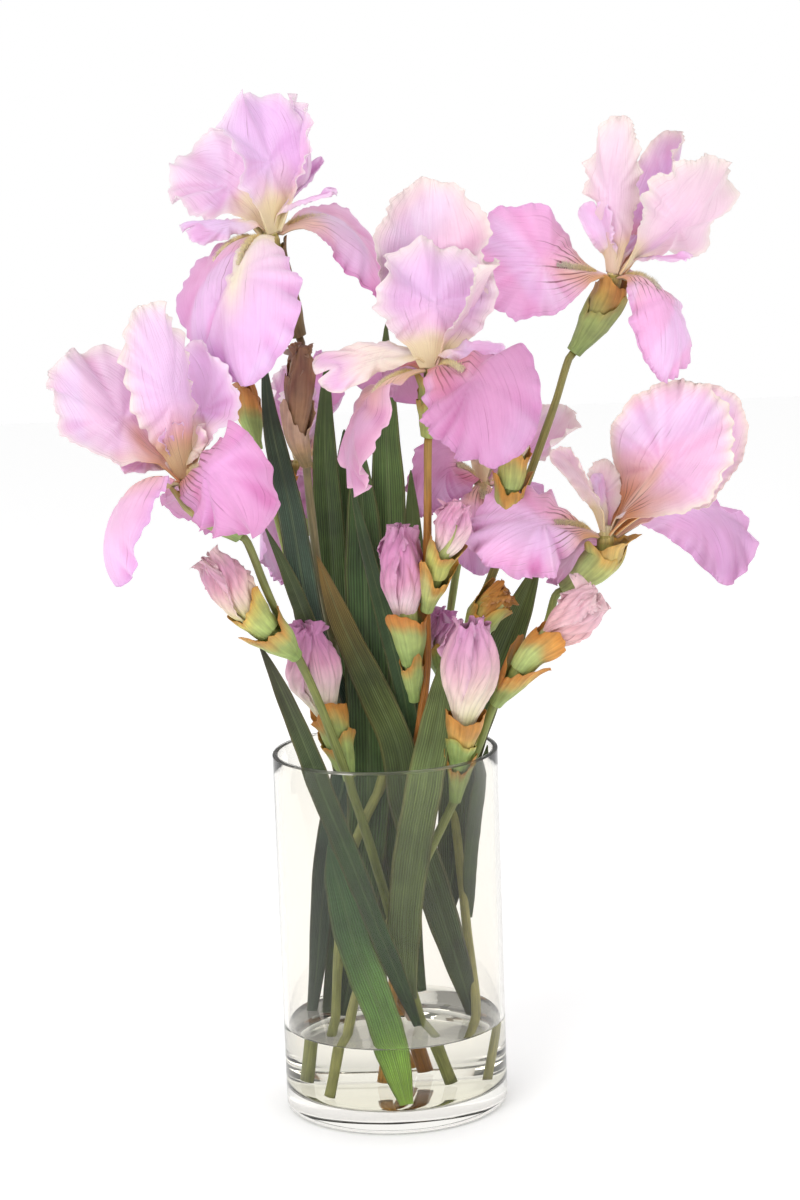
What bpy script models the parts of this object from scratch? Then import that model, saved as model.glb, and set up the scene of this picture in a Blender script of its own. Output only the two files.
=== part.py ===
"""Seven bearded irises with their leaves and buds, standing in water in a clear glass cylinder vase.

Lengths are written in millimetres and turned into metres when the objects are made. +Z is up, the
viewer stands on the -Y side, and the origin is the centre of the vase's underside.
"""

import math

import bmesh
import bpy
import numpy as np
from mathutils import Vector

MM = 0.001
GAP = 0.3  # between pieces that rest on each other

VASE_RADIUS = 63.5
VASE_HEIGHT = 206
VASE_WALL = 2.8
VASE_FLOOR = 12
HEEL_RADIUS = 3
WATER_LEVEL = 48
STEM_RADIUS = 3.2
LEAF_THICKNESS = 1
PETAL_THICKNESS = 0.8
COLLAR_RADIUS = 7  # the ring that the three falls grow from
TUBE_RADIUS = 5  # the tube inside the standards

# Each petal: compass angle, rise at its base, rise at its tip, length, width, roll about its
# midrib, cupping, and how early it bends. Angles are in degrees; 270 points at the viewer.
# "heart" is where a flower's petals meet, "lean" the compass angle and tilt of its axis.
FLOWERS = {
    "iris_1": {
        "heart": (-52, -15, 495),
        "lean": (190, 10),
        "falls": [
            (250, 40, -95, 106, 64, 0, -65, 0.5),
            (230, 40, -120, 104, 40, -15, 10, 0.7),
            (50, 40, -115, 112, 66, 5, -70, 0.9),
        ],
        "standards": [
            (150, 65, 15, 64, 60, -40, 20, 1.0),
            (325, 70, 125, 72, 42, -10, -5, 1.3),
            (40, 30, 80, 72, 60, -10, 20, 0.5),
        ],
        "style_arms": [
            (350, 20, 0, 40, 16, 0, -40, 1.0),
            (20, 30, 40, 44, 16, 0, -40, 0.8),
            (210, 5, 5, 48, 26, -35, -75, 0.9),
        ],
        "ovary_end": (-39, -6, 440),
        "stem": [
            (-39, 0, 404), (-38, 8, 364), (-34, 18, 306), (-27, 25, 258), (-20, 29, 202),
            (-11, 29, 140), (10, 32, 13),
        ],
    },
    "iris_2": {
        "heart": (33, -45, 422),
        "lean": (0, 2),
        "falls": [
            (290, 40, -95, 92, 64, 50, -25, 0.8),
            (200, 5, -120, 92, 50, 0, -40, 0.9),
            (95, 20, -95, 74, 64, -15, -35, 1.1),
        ],
        "standards": [
            (90, 80, 88, 96, 80, 0, 65, 1.2),
            (315, 45, 125, 62, 72, 5, -15, 0.5),
            (350, 50, 80, 66, 40, -5, 10, 1.2),
        ],
        "style_arms": [
            (195, 15, -10, 62, 26, -75, -30, 0.8),
            (320, 40, -10, 38, 24, 35, -30, 0.8),
            (75, 55, 45, 26, 14, 0, -40, 1.0),
        ],
        "ovary_end": (30, -40, 386),
        "stem": [(28, -30, 339), (26, -22, 293), (24, -15, 247), (8, 3, 146), (-5, 10, 13)],
    },
    "iris_3": {
        "heart": (135, 0, 466),
        "lean": (0, 14),
        "falls": [
            (195, 10, -10, 74, 66, -85, -10, 1.0),
            (315, 40, -105, 84, 48, 10, -60, 0.7),
            (85, 5, -85, 62, 32, 20, -70, 1.0),
        ],
        "standards": [
            (235, 55, 95, 84, 28, 25, 80, 1.4),
            (55, 30, 110, 88, 48, -15, 70, 1.0),
            (355, 40, 105, 72, 72, -30, -20, 1.2),
        ],
        "style_arms": [
            (215, 35, 70, 36, 26, 30, -35, 1.1),
            (340, 20, 10, 40, 16, 10, -45, 1.0),
            (60, 45, 30, 24, 12, 0, -45, 1.0),
        ],
        "ovary_end": (112, 2, 425),
        "stem": [
            (101, 2, 397), (80, -2, 344), (62, -3, 300), (32, 6, 231), (-7, 2, 176), (-25, 2, 130),
            (-37, 8, 13),
        ],
    },
    "iris_4": {
        "heart": (126, -20, 325),
        "lean": (340, 8),
        "falls": [
            (150, 40, -55, 80, 68, -70, -35, 0.6),
            (30, 40, -100, 112, 46, -45, -25, 1.3),
            (130, -10, -90, 48, 42, -5, -25, 0.9),
        ],
        "standards": [
            (25, 50, 85, 94, 72, 35, -5, 1.1),
            (325, 25, 90, 104, 48, -30, 45, 1.4),
            (105, 50, 80, 36, 22, 0, 40, 1.2),
        ],
        "style_arms": [
            (205, 55, 45, 52, 26, 20, -50, 1.1),
            (335, 35, 20, 28, 14, 0, -45, 1.0),
            (120, 60, 60, 26, 12, 5, -40, 1.0),
        ],
        "ovary_end": (102, -14, 295),
        "stem": [
            (91, -17, 274), (63, -22, 236), (52, -23, 210), (20, -31, 148), (-18, -28, 79),
            (-33, -25, 13),
        ],
    },
    "iris_5": {
        "heart": (-101, -62, 369),
        "lean": (185, 20),
        "falls": [
            (290, 40, -95, 112, 60, 60, -25, 1.3),
            (235, 40, -100, 104, 54, 10, -70, 1.4),
            (80, -10, -65, 68, 60, 15, -10, 0.8),
        ],
        "standards": [
            (185, 70, 70, 88, 68, -40, 15, 1.2),
            (300, 50, 85, 98, 40, 0, 80, 1.0),
            (25, 40, 110, 68, 52, 15, -15, 1.7),
        ],
        "style_arms": [
            (205, 40, 25, 34, 26, -50, -60, 1.1),
            (285, 60, 40, 30, 20, 15, -55, 1.0),
            (350, 10, 70, 24, 26, 5, -75, 0.9),
        ],
        "ovary_end": (-74, -52, 337),
        "stem": [
            (-61, -45, 306), (-51, -38, 279), (-38, -31, 247), (-24, -25, 204), (-11, -19, 158),
            (12, -6, 60), (23, 0, 13),
        ],
    },
    "iris_6": {
        "heart": (62, 84, 343),
        "lean": (40, 10),
        "falls": [
            (235, 40, -110, 72, 40, -70, -5, 1.3),
            (270, 0, -90, 80, 36, -5, -40, 1.0),
            (50, 30, -105, 62, 32, -20, -35, 1.2),
        ],
        "standards": [
            (20, 25, 65, 64, 40, 40, 60, 1.2),
            (100, 40, 80, 60, 40, -5, 75, 1.2),
            (245, 40, 100, 44, 30, 10, 65, 1.2),
        ],
        "style_arms": [
            (200, 50, 20, 28, 14, 0, -45, 1.0),
            (285, 50, 15, 26, 14, 0, -45, 1.0),
            (70, 50, 20, 28, 14, 0, -45, 1.0),
        ],
        "ovary_end": (49, 76, 307),
        "stem": [(38, 60, 256), (33, 42, 197), (39, 36, 166), (47, 15, 52), (34, 6, 14)],
    },
    "iris_7": {
        "heart": (-44, 85, 360),
        "lean": (60, 8),
        "falls": [
            (135, 20, -130, 88, 54, -25, -40, 0.5),
            (305, -5, -110, 48, 36, -20, -30, 0.8),
            (65, 35, -100, 60, 30, 0, -45, 1.1),
        ],
        "standards": [
            (30, 50, 120, 62, 44, 0, 30, 1.2),
            (105, 35, 85, 60, 32, -15, 75, 1.2),
            (255, 60, 105, 44, 28, -5, 70, 1.3),
        ],
        "style_arms": [
            (180, 50, 20, 28, 14, 0, -45, 1.0),
            (300, 50, 20, 28, 14, 0, -45, 1.0),
            (60, 50, 25, 26, 14, 0, -45, 1.0),
        ],
        "ovary_end": (-43, 74, 318),
        "stem": [(-40, 62, 270), (-32, 46, 205), (-22, 40, 149), (-11, 40, 77), (4, 42, 13)],
    },
}

# Each leaf: width, then the points of its midrib from where it clasps a stem to its tip.
LEAVES = {
    "leaf_1": (17, [
        (-20.3, 24.9, 204.5), (-38, 12, 269), (-48, 7, 342), (-57, 9, 393), (-60, 12, 431),
    ]),
    "leaf_2": (20, [
        (-16.3, 33.2, 175.6), (-21, 36, 221), (-26, 38, 274), (-27, 36, 320), (-28, 34, 372),
        (-25, 34, 426),
    ]),
    "leaf_3": (26, [(-10.7, 5.8, 169.1), (-9, 12, 231), (-8, 14, 289), (-8, 15, 345), (-10, 16, 386)]),
    "leaf_4": (21, [
        (7.2, 7.7, 139.4), (5, 12, 179), (4, 18, 230), (6, 21, 287), (7, 23, 344), (7, 24, 400),
        (9, 24, 443),
    ]),
    "leaf_5": (11, [(15.7, -0.9, 194.8), (12, 2, 234), (3, 4, 278), (-6, 4, 318), (-14, 5, 357)]),
    "leaf_6": (21, [(11.8, -4.6, 171.9), (7, -13, 211), (-5, 2, 239), (-22, 5, 279), (-34, 4, 316)]),
    "leaf_7": (13, [(-16.6, 25.2, 177.8), (-30, 12, 232), (-40, 6, 274), (-52, 5, 309), (-63, 5, 334)]),
    "leaf_8": (13, [
        (-3.4, -33.9, 108.3), (-18, -38, 151), (-34, -38, 192), (-47, -38, 226), (-58, -36, 254),
        (-67, -34, 275),
    ]),
    "leaf_9": (19, [
        (12.1, -10.0, 59.7), (14, -17, 104), (20, -21, 151), (27, -20, 211), (34, -19, 242),
        (39, -18, 270),
    ]),
    "leaf_10": (23, [
        (39.7, 30.7, 159.1), (44, 20, 193), (52, 12, 221), (67, 13, 254), (81, 16, 285),
        (91, 18, 307),
    ]),
    "leaf_11": (17, [
        (-4.6, 25.8, 100.8), (2, 20, 147), (10, 22, 194), (17, 28, 256), (20, 28, 308),
        (20, 24, 360),
    ]),
    "leaf_12": (9, [(45.5, 20.1, 100.3), (47, 17, 135), (52, 12, 171), (58, 6, 204)]),
    "leaf_13": (17, [(5.0, -46.0, 13.4), (-8, -43, 72), (-22, -38, 103), (-28, -34, 125)]),
    "leaf_14": (22, [
        (-25.3, 45.2, 167.3), (-20, 50, 212), (-17, 50, 271), (-17, 48, 330), (-17, 46, 382),
    ]),
}

# Each bud: points from the stem to the tip, each with the radius there.
BUDS = {
    "bud_1": [
        (-46.4, -40.2, 267.7, 1.3), (-57, -50, 281, 7.5), (-64, -51, 288, 8), (-75, -51, 302, 11),
        (-88, -50, 319, 8), (-94, -50, 326, 3),
    ],
    "bud_2": [
        (-20.1, -18.4, 190.8, 1.3), (-26, -10, 211, 8), (-29, -8, 224, 9), (-33, -7, 233, 10),
        (-39, -8, 254, 14), (-42, -8, 271, 8), (-43, -8, 281, 2),
    ],
    "bud_3": [
        (17.5, -12.9, 235.2, 1.3), (16, -26, 272, 8), (14, -28, 288, 8.5), (13, -30, 306, 11),
        (12, -30, 326, 9), (13, -30, 337, 3),
    ],
    "bud_4": [
        (25.8, -26.1, 288.3, 1.3), (31, -37, 308, 5.5), (34, -40, 319, 6.5), (39, -42, 329, 8),
        (43, -42, 341, 8), (47, -40, 349, 3),
    ],
    "bud_5": [
        (37.5, -32.0, 181.2, 1.3), (41, -34, 204, 5), (43, -37, 218, 8), (45, -40, 231, 9),
        (48, -42, 258, 14), (49, -42, 276, 10), (49, -42, 286, 3),
    ],
    "bud_6": [
        (62.2, -27.0, 234.7, 1.3), (73, -35, 251, 7), (83, -37, 264, 8), (92, -38, 271, 9),
        (102, -38, 280, 11), (114, -38, 291, 9), (121, -38, 296, 4),
    ],
    "bud_7": [
        (-38.2, 2.3, 368.5, 1.3), (-42, -18, 389, 5), (-40, -24, 406, 7.5), (-38, -29, 426, 7),
        (-38, -30, 437, 2),
    ],
    "bud_8": [
        (73.0, -7.9, 326.7, 1.3), (73, -15, 347, 6), (75, -16, 360, 7.5), (77, -17, 374, 7.5),
        (79, -17, 384, 6), (80, -17, 392, 2),
    ],
    "bud_9": [
        (-44.6, 61.3, 267.1, 1.3), (-51, 58, 297, 2), (-58, 58, 330, 2), (-65, 57, 362, 2),
        (-69, 56, 383, 3), (-71, 56, 394, 6), (-72, 55, 406, 5), (-73, 55, 414, 2),
    ],
    "bud_10": [(35.1, 48.0, 233.4, 1.3), (33, 46, 255, 6), (34, 46, 269, 7), (36, 46, 277, 3)],
    "bract_1": [(48.3, -3.3, 266.1, 1.3), (58, -16, 283, 9), (66, -17, 292, 8), (72, -17, 296, 3)],
}


def material(name, hex_colour, roughness, transmission=0.0):
    mat = bpy.data.materials.new(name)
    mat.use_nodes = True
    shader = mat.node_tree.nodes["Principled BSDF"]
    srgb = [int(hex_colour[i : i + 2], 16) / 255 for i in (0, 2, 4)]
    linear = [c / 12.92 if c <= 0.04045 else ((c + 0.055) / 1.055) ** 2.4 for c in srgb]
    shader.inputs["Base Color"].default_value = (*linear, 1)
    shader.inputs["Roughness"].default_value = roughness
    shader.inputs["Transmission Weight"].default_value = transmission
    return mat


def unit(vector):
    return np.asarray(vector, float) / np.linalg.norm(vector)


def smooth_path(points, steps):
    """steps + 1 points on a smooth curve through the given points, evenly spaced."""
    p = np.asarray(points, float)
    p = np.vstack([2 * p[0] - p[1], p, 2 * p[-1] - p[-2]])
    step = np.linalg.norm(np.diff(p[1:-1], axis=0), axis=1)
    along = np.concatenate([[0], np.cumsum(step)])
    out = []
    for s in np.linspace(0, along[-1], steps + 1):
        i = min(np.searchsorted(along, s, side="right") - 1, len(step) - 1)
        k = (s - along[i]) / step[i]
        a, b, c, d = p[i : i + 4]
        start = (c - a) * step[i] / (step[max(i - 1, 0)] + step[i])
        end = (d - b) * step[i] / (step[i] + step[min(i + 1, len(step) - 1)])
        out.append(
            (2 * k**3 - 3 * k**2 + 1) * b
            + (k**3 - 2 * k**2 + k) * start
            + (3 * k**2 - 2 * k**3) * c
            + (k**3 - k**2) * end
        )
    return np.array(out)


def flower_axes(flower):
    """The heart, and the flower's own axes as columns, its third along the flower's axis."""
    towards, tilt = (math.radians(angle) for angle in flower["lean"])
    axis = np.array(
        [math.cos(towards) * math.sin(tilt), math.sin(towards) * math.sin(tilt), math.cos(tilt)]
    )
    right = unit(np.array([1.0, 0, 0]) - axis * axis[0])
    return np.array(flower["heart"], float), np.stack([right, np.cross(axis, right), axis], 1)


def half_width(kind, u):
    """A petal's half width at u along its midrib, as a share of its widest."""
    root = 0.35 + 0.65 * np.clip(u / 0.14, 0, 1)
    if kind == "style_arms":
        end = np.clip((u - 0.8) / 0.2, 0, 1)
        return root * (0.45 + 0.2 * u + 0.35 * u**2) * np.sqrt(1 - 0.9 * end**2)
    claw_length, claw, widen, roundness = {
        "falls": (0.16, 0.22, 0.25, 0.52),
        "standards": (0.05, 0.20, 0.30, 0.60),
    }[kind]
    t = np.clip((u - claw_length) / (1 - claw_length), 0, 1)
    blade = np.sin(np.pi * t**1.12) ** roundness
    return root * np.maximum((claw + widen * u) * (1 - t**8), blade)


def petal_points(kind, petal, u, v):
    """Points of a petal in its flower's axes: u from base to tip, v from side to side (-1 to 1)."""
    azimuth, rise, tip_rise, length, width, roll, cup, bend = petal
    base_radius, base_height = {"falls": (5, 0), "standards": (3, 8), "style_arms": (2, 10)}[kind]
    fine = np.linspace(0, 1, 201)
    slope = np.radians(rise + (tip_rise - rise) * fine**bend)
    run = np.concatenate([[0], np.cumsum(np.cos(slope[1:]) + np.cos(slope[:-1]))])
    climb = np.concatenate([[0], np.cumsum(np.sin(slope[1:]) + np.sin(slope[:-1]))])
    run = np.interp(u, fine, run * length / 400 + base_radius)[:, None]
    climb = np.interp(u, fine, climb * length / 400 + base_height)[:, None]
    slope = np.interp(u, fine, slope)[:, None]
    a = math.radians(azimuth)
    out, side, up = np.array([[math.cos(a), math.sin(a), 0], [-math.sin(a), math.cos(a), 0], [0, 0, 1]])
    face = up * np.cos(slope) - out * np.sin(slope)
    turn = math.radians(roll) * np.clip(u * 1.6, 0, 1)[:, None]
    across = side * np.cos(turn) + face * np.sin(turn)
    face = face * np.cos(turn) - side * np.sin(turn)
    curl = math.radians(cup or 1) * (0.35 + 0.65 * np.sin(np.pi * u) ** 0.5)[:, None]
    half = (width / 2 * half_width(kind, u))[:, None]
    sideways = (np.sin(curl * v) / curl * half)[..., None] * across[:, None]
    inward = ((1 - np.cos(curl * v)) / curl * half)[..., None] * face[:, None]
    return (out * run + up * climb)[:, None] + sideways + inward


def collection(name, inside=None):
    made = bpy.data.collections.new(name)
    (inside or bpy.context.scene.collection).children.link(made)
    return made


def add(name, data, into, mat=None):
    obj = bpy.data.objects.new(name, data)
    into.objects.link(obj)
    if mat:
        data.materials.append(mat)
    if into is not bouquet:
        obj.hide_render = True
        obj.display_type = "WIRE"
    return obj


def sheet(name, grid, thickness, into, mat=None):
    """A thin solid along a grid of points."""
    rows, columns = grid.shape[:2]
    mesh = bpy.data.meshes.new(name)
    quads = [
        (i * columns + j, i * columns + j + 1, (i + 1) * columns + j + 1, (i + 1) * columns + j)
        for i in range(rows - 1)
        for j in range(columns - 1)
    ]
    mesh.from_pydata((grid.reshape(-1, 3) * MM).tolist(), [], quads)
    obj = add(name, mesh, into, mat)
    solid = obj.modifiers.new("thickness", "SOLIDIFY")
    solid.thickness = thickness * MM
    solid.offset = 0
    return obj


def rod(name, path, radii, into, mat=None, sides=8):
    """A round rod along a path, its radius given at each point."""
    curve = bpy.data.curves.new(name, "CURVE")
    curve.dimensions = "3D"
    curve.bevel_depth = MM
    curve.bevel_resolution = (sides - 4) // 2
    curve.use_fill_caps = True
    line = curve.splines.new("POLY")
    line.points.add(len(path) - 1)
    for point, place, radius in zip(line.points, path, radii):
        point.co = (*(place * MM), 1)
        point.radius = radius
    return add(name, curve, into, mat)


def as_mesh(curve):
    """The same solid as a mesh, which a Boolean can cut with."""
    evaluated = curve.evaluated_get(bpy.context.evaluated_depsgraph_get())
    mesh = bpy.data.meshes.new_from_object(evaluated)
    name = curve.name
    bpy.data.objects.remove(curve)
    return add(name, mesh, helpers)


def round_bar(name, start, end, radius, into, mat=None, sides=12):
    """A cylinder from start to end."""
    mesh = bpy.data.meshes.new(name)
    bm = bmesh.new()
    start, end = Vector(start), Vector(end)
    bmesh.ops.create_cone(
        bm,
        cap_ends=True,
        segments=sides,
        radius1=radius * MM,
        radius2=radius * MM,
        depth=(end - start).length * MM,
    )
    bm.to_mesh(mesh)
    bm.free()
    obj = add(name, mesh, into, mat)
    obj.location = (start + end) / 2 * MM
    obj.rotation_mode = "QUATERNION"
    obj.rotation_quaternion = (end - start).to_track_quat("Z", "Y")
    return obj


def boolean(obj, other, operation):
    modifier = obj.modifiers.new(other.name, "BOOLEAN")
    modifier.operation = operation
    modifier.solver = "EXACT"
    modifier.use_self = True
    if isinstance(other, bpy.types.Collection):
        modifier.operand_type = "COLLECTION"
        modifier.collection = other
    else:
        modifier.object = other


def turned(name, profile, steps, into, mat, flip=True):
    """A solid turned about the Z axis from its half outline, given as (radius, height) points."""
    mesh = bpy.data.meshes.new(name)
    edges = [(i, i + 1) for i in range(len(profile) - 1)]
    mesh.from_pydata([(r * MM, 0, z * MM) for r, z in profile], edges, [])
    obj = add(name, mesh, into, mat)
    screw = obj.modifiers.new("turn", "SCREW")
    screw.steps = screw.render_steps = steps
    screw.use_merge_vertices = True
    screw.merge_threshold = 0.00001
    screw.use_smooth_shade = False
    screw.use_normal_flip = flip
    return obj


def arc(radius, height, r, first, last, points=4):
    """Points of a quarter round in a half outline."""
    angles = np.radians(np.linspace(first, last, points))
    return [(radius + r * math.cos(a), height + r * math.sin(a)) for a in angles]


for old in list(bpy.data.objects):
    bpy.data.objects.remove(old, do_unlink=True)

bouquet = collection("irises_in_vase")
helpers = collection("cutters")

clear_glass = material("clear_glass", "F4F5F2", 0.02, 1.0)
water_clear = material("water", "F2F7F5", 0.0, 1.0)
orchid_petal = material("orchid_petal", "E3A6DA", 0.55)
lilac_petal = material("lilac_petal", "EBC9EA", 0.55)
green_stem = material("green_stem", "7C8746", 0.5)
papery_bract = material("papery_bract", "A9B878", 0.65)
bud_petal = material("bud_petal", "DCA0C4", 0.55)
leaf_green = material("leaf_green", "4C5E3A", 0.5)


# The vase: a straight glass cylinder with a thick floor, a rounded heel and a rounded rim.
inner = VASE_RADIUS - VASE_WALL
lip = VASE_WALL / 2
vase_outline = (
    [(0, 0)]
    + arc(VASE_RADIUS - HEEL_RADIUS, HEEL_RADIUS, HEEL_RADIUS, -90, 0, 3)
    + arc(VASE_RADIUS - lip, VASE_HEIGHT - lip, lip, 0, 180, 5)
    + arc(inner - HEEL_RADIUS, VASE_FLOOR + HEEL_RADIUS, HEEL_RADIUS, 0, -90, 3)
    + [(0, VASE_FLOOR)]
)
turned("vase", vase_outline, 40, bouquet, clear_glass)

# The water, standing just clear of the glass.
shrink = GAP
water_outline = (
    [(0, VASE_FLOOR + GAP)]
    + arc(inner - HEEL_RADIUS, VASE_FLOOR + HEEL_RADIUS, HEEL_RADIUS - shrink, -90, 0, 3)
    + [(inner - shrink, WATER_LEVEL), (0, WATER_LEVEL)]
)
water = turned("water", water_outline, 40, bouquet, water_clear)

for name, flower in FLOWERS.items():
    heart, axes = flower_axes(flower)
    axis = axes[:, 2]

    # The falls hang from a collar round the flower's tube; the standards and the three style
    # arms above them grow from the tube itself.
    collar = round_bar(
        f"{name}_falls", heart - axis * 4, heart + axis * 3.5, COLLAR_RADIUS, bouquet, orchid_petal
    )
    crown = round_bar(
        f"{name}_crown", heart + axis * 3.8, heart + axis * 15, TUBE_RADIUS, bouquet, lilac_petal, 8
    )
    for carrier, kinds in ((collar, ["falls"]), (crown, ["standards", "style_arms"])):
        petals = collection(f"{carrier.name}_petals", helpers)
        for kind in kinds:
            rows, columns = (3, 3) if kind == "style_arms" else (6, 4)
            u = np.concatenate([[0], np.sin(np.linspace(0.15, math.pi / 2, rows))])
            u[-1] = 0.985
            for number, petal in enumerate(flower[kind], 1):
                grid = petal_points(kind, petal, u, np.linspace(-1, 1, columns)) @ axes.T + heart
                sheet(f"{name}_{kind}_{number}", grid, PETAL_THICKNESS, petals)
        boolean(carrier, petals, "UNION")

    # The ovary in its spathe, bending from the flower's axis to its stem.
    below, neck, end = heart - axis * 4.3, heart - axis * 11, np.array(flower["ovary_end"], float)
    middle = neck + (end - neck) * 0.5 + (neck - below) * 0.3
    ovary = smooth_path([below, neck, middle, end], 6)
    radii = np.interp(np.linspace(0, 1, 7), [0, 0.15, 0.55, 1], [5, 7.2, 7, 3.8])
    rod(f"{name}_spathe", ovary, radii, bouquet, papery_bract)

    # The stem, and a cutter that clears the water round it.
    down = unit(ovary[-1] - ovary[-2])
    start = end + down * GAP
    path = np.vstack([start, smooth_path([start + down * 5, *flower["stem"]], 15)])
    rod(f"{name}_stem", path, [STEM_RADIUS] * len(path), bouquet, green_stem, 6)
    wet = np.vstack([path[-5:], path[-1] + unit(path[-1] - path[-2]) * 5])
    clear = as_mesh(rod(f"{name}_stem_clearance", wet, [STEM_RADIUS + 2.5 * GAP] * 6, helpers, sides=6))
    boolean(water, clear, "DIFFERENCE")

for name, (width, points) in LEAVES.items():
    path = smooth_path(points, 8)
    u = np.linspace(0, 1, 9)
    tangent = np.gradient(path, axis=0)
    across = np.cross(tangent, [0, -1, 0])
    across /= np.linalg.norm(across, axis=1)[:, None]
    half = width / 2 * np.interp(u, [0, 0.12, 0.4, 0.72, 0.88, 0.96, 1], [0.5, 0.75, 1, 0.95, 0.66, 0.3, 0.04])
    grid = path[:, None] + across[:, None] * (half[:, None] * np.array([-1, 0, 1]))[..., None]
    sheet(name, grid, LEAF_THICKNESS, bouquet, leaf_green)
    if points[0][2] < WATER_LEVEL:
        wider = path[:, None] + across[:, None] * ((half[:, None] + GAP) * np.array([-1, 1]))[..., None]
        wider[0] += unit(path[0] - path[1]) * 3
        boolean(water, sheet(f"{name}_clearance", wider, LEAF_THICKNESS + 2 * GAP, helpers), "DIFFERENCE")

for name, points in BUDS.items():
    path = smooth_path([p[:3] for p in points], 9)
    knots = np.array([p[:3] for p in points], float)
    along = np.concatenate([[0], np.cumsum(np.linalg.norm(np.diff(knots, axis=0), axis=1))])
    radii = np.interp(np.linspace(0, along[-1], 10), along, [p[3] for p in points])
    rod(name, path, radii, bouquet, bud_petal)
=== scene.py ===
"""Cut bearded irises with buds and sword leaves, standing in water in a clear glass cylinder vase."""

import math

import bpy
import numpy as np
from mathutils import Matrix


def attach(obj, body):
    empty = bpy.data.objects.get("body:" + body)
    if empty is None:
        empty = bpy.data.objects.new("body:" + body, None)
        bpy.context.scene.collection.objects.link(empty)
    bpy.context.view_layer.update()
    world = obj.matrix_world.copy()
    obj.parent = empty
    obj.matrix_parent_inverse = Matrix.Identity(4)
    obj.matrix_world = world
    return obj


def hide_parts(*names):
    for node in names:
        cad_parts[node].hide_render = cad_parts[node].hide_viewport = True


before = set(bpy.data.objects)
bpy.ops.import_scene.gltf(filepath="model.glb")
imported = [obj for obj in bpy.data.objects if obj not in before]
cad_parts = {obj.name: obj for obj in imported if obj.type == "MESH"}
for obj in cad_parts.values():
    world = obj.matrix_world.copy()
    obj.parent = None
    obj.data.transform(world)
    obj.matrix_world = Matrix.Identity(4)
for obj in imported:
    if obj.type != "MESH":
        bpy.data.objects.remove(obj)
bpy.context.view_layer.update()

MM = 0.001  # every length below is in millimetres


# ---- The vase --------------------------------------------------------------------------------
# A straight cylinder of clear soda-lime glass with a thick pressed floor. Its heel is fire-polished
# and round, its rim is ground to a satin finish, and its underside is a little hollow so it stands.
VASE_RADIUS = 63.5
VASE_HEIGHT = 206
VASE_WALL = 2.8
VASE_FLOOR = 12
HEEL = 4
GROUND_RIM = 2.2
WATER_LEVEL = 48
MENISCUS = 1.5
WET_TO = WATER_LEVEL + MENISCUS


def rounded(radius, height, r, first, last, points):
    """Points of a rounded corner in a half outline."""
    turn = np.radians(np.linspace(first, last, points))
    return [(radius + r * math.cos(a), height + r * math.sin(a)) for a in turn]


def turned(name, outline, steps, material):
    """A body turned about the Z axis from its half outline of (radius, height) points."""
    points, faces = [], []
    rings = []
    for radius, height in outline:
        if radius < 1e-6:
            rings.append([len(points)] * steps)
            points.append((0, 0, height))
            continue
        rings.append(list(range(len(points), len(points) + steps)))
        for k in range(steps):
            a = 2 * math.pi * k / steps
            points.append((radius * math.cos(a), radius * math.sin(a), height))
    for low, high in zip(rings, rings[1:]):
        for k in range(steps):
            j = (k + 1) % steps
            faces.append(tuple(dict.fromkeys((low[k], low[j], high[j], high[k]))))
    mesh = bpy.data.meshes.new(name)
    mesh.from_pydata((np.array(points) * MM).tolist(), [], faces)
    mesh.shade_smooth()
    mesh.materials.append(material)
    made = bpy.data.objects.new(name, mesh)
    bpy.context.scene.collection.objects.link(made)
    return made


def linear(hex_colour):
    """The linear colour of an sRGB hex value."""
    srgb = np.array([int(hex_colour[i : i + 2], 16) / 255 for i in (0, 2, 4)])
    return np.where(srgb <= 0.04045, srgb / 12.92, ((srgb + 0.055) / 1.055) ** 2.4)


def shade(hex_colour):
    """The same as a colour socket takes it."""
    return (*linear(hex_colour), 1)


def new_material(name):
    """An empty material, its node tree and its shader."""
    material = bpy.data.materials.new(name)
    material.use_nodes = True
    return material, material.node_tree, material.node_tree.nodes["Principled BSDF"]


def add_node(tree, kind, inputs=None, **properties):
    """Adds a node with its properties. An input is a value, or another node's output to link."""
    made = tree.nodes.new("ShaderNode" + kind)
    for name, value in properties.items():
        setattr(made, name, value)
    feed(tree, made, inputs or {})
    return made


def feed(tree, target, inputs):
    for name, value in inputs.items():
        if isinstance(value, bpy.types.NodeSocket):
            tree.links.new(value, target.inputs[name])
        else:
            target.inputs[name].default_value = value


def remap(tree, value, source, target):
    """A value carried from the source range to the target range, and held inside it."""
    ends = {0: value, 1: source[0], 2: source[1], 3: target[0], 4: target[1]}
    return add_node(tree, "MapRange", ends).outputs[0]


def stretch(tree, vector, scale):
    """A texture's place, scaled along each axis."""
    return add_node(tree, "Mapping", {"Vector": vector, "Scale": scale}).outputs[0]


def noise(tree, vector, scale, detail):
    inputs = {"Vector": vector, "Scale": scale, "Detail": detail}
    return add_node(tree, "TexNoise", inputs).outputs[0]


def relief(tree, height, strength, distance):
    """A bumped normal. The distance is in metres."""
    inputs = {"Height": height, "Strength": strength, "Distance": distance}
    return add_node(tree, "Bump", inputs).outputs[0]


def combine(tree, kind, operation, first, second):
    return add_node(tree, kind, {0: first, 1: second}, operation=operation).outputs[0]


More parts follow.
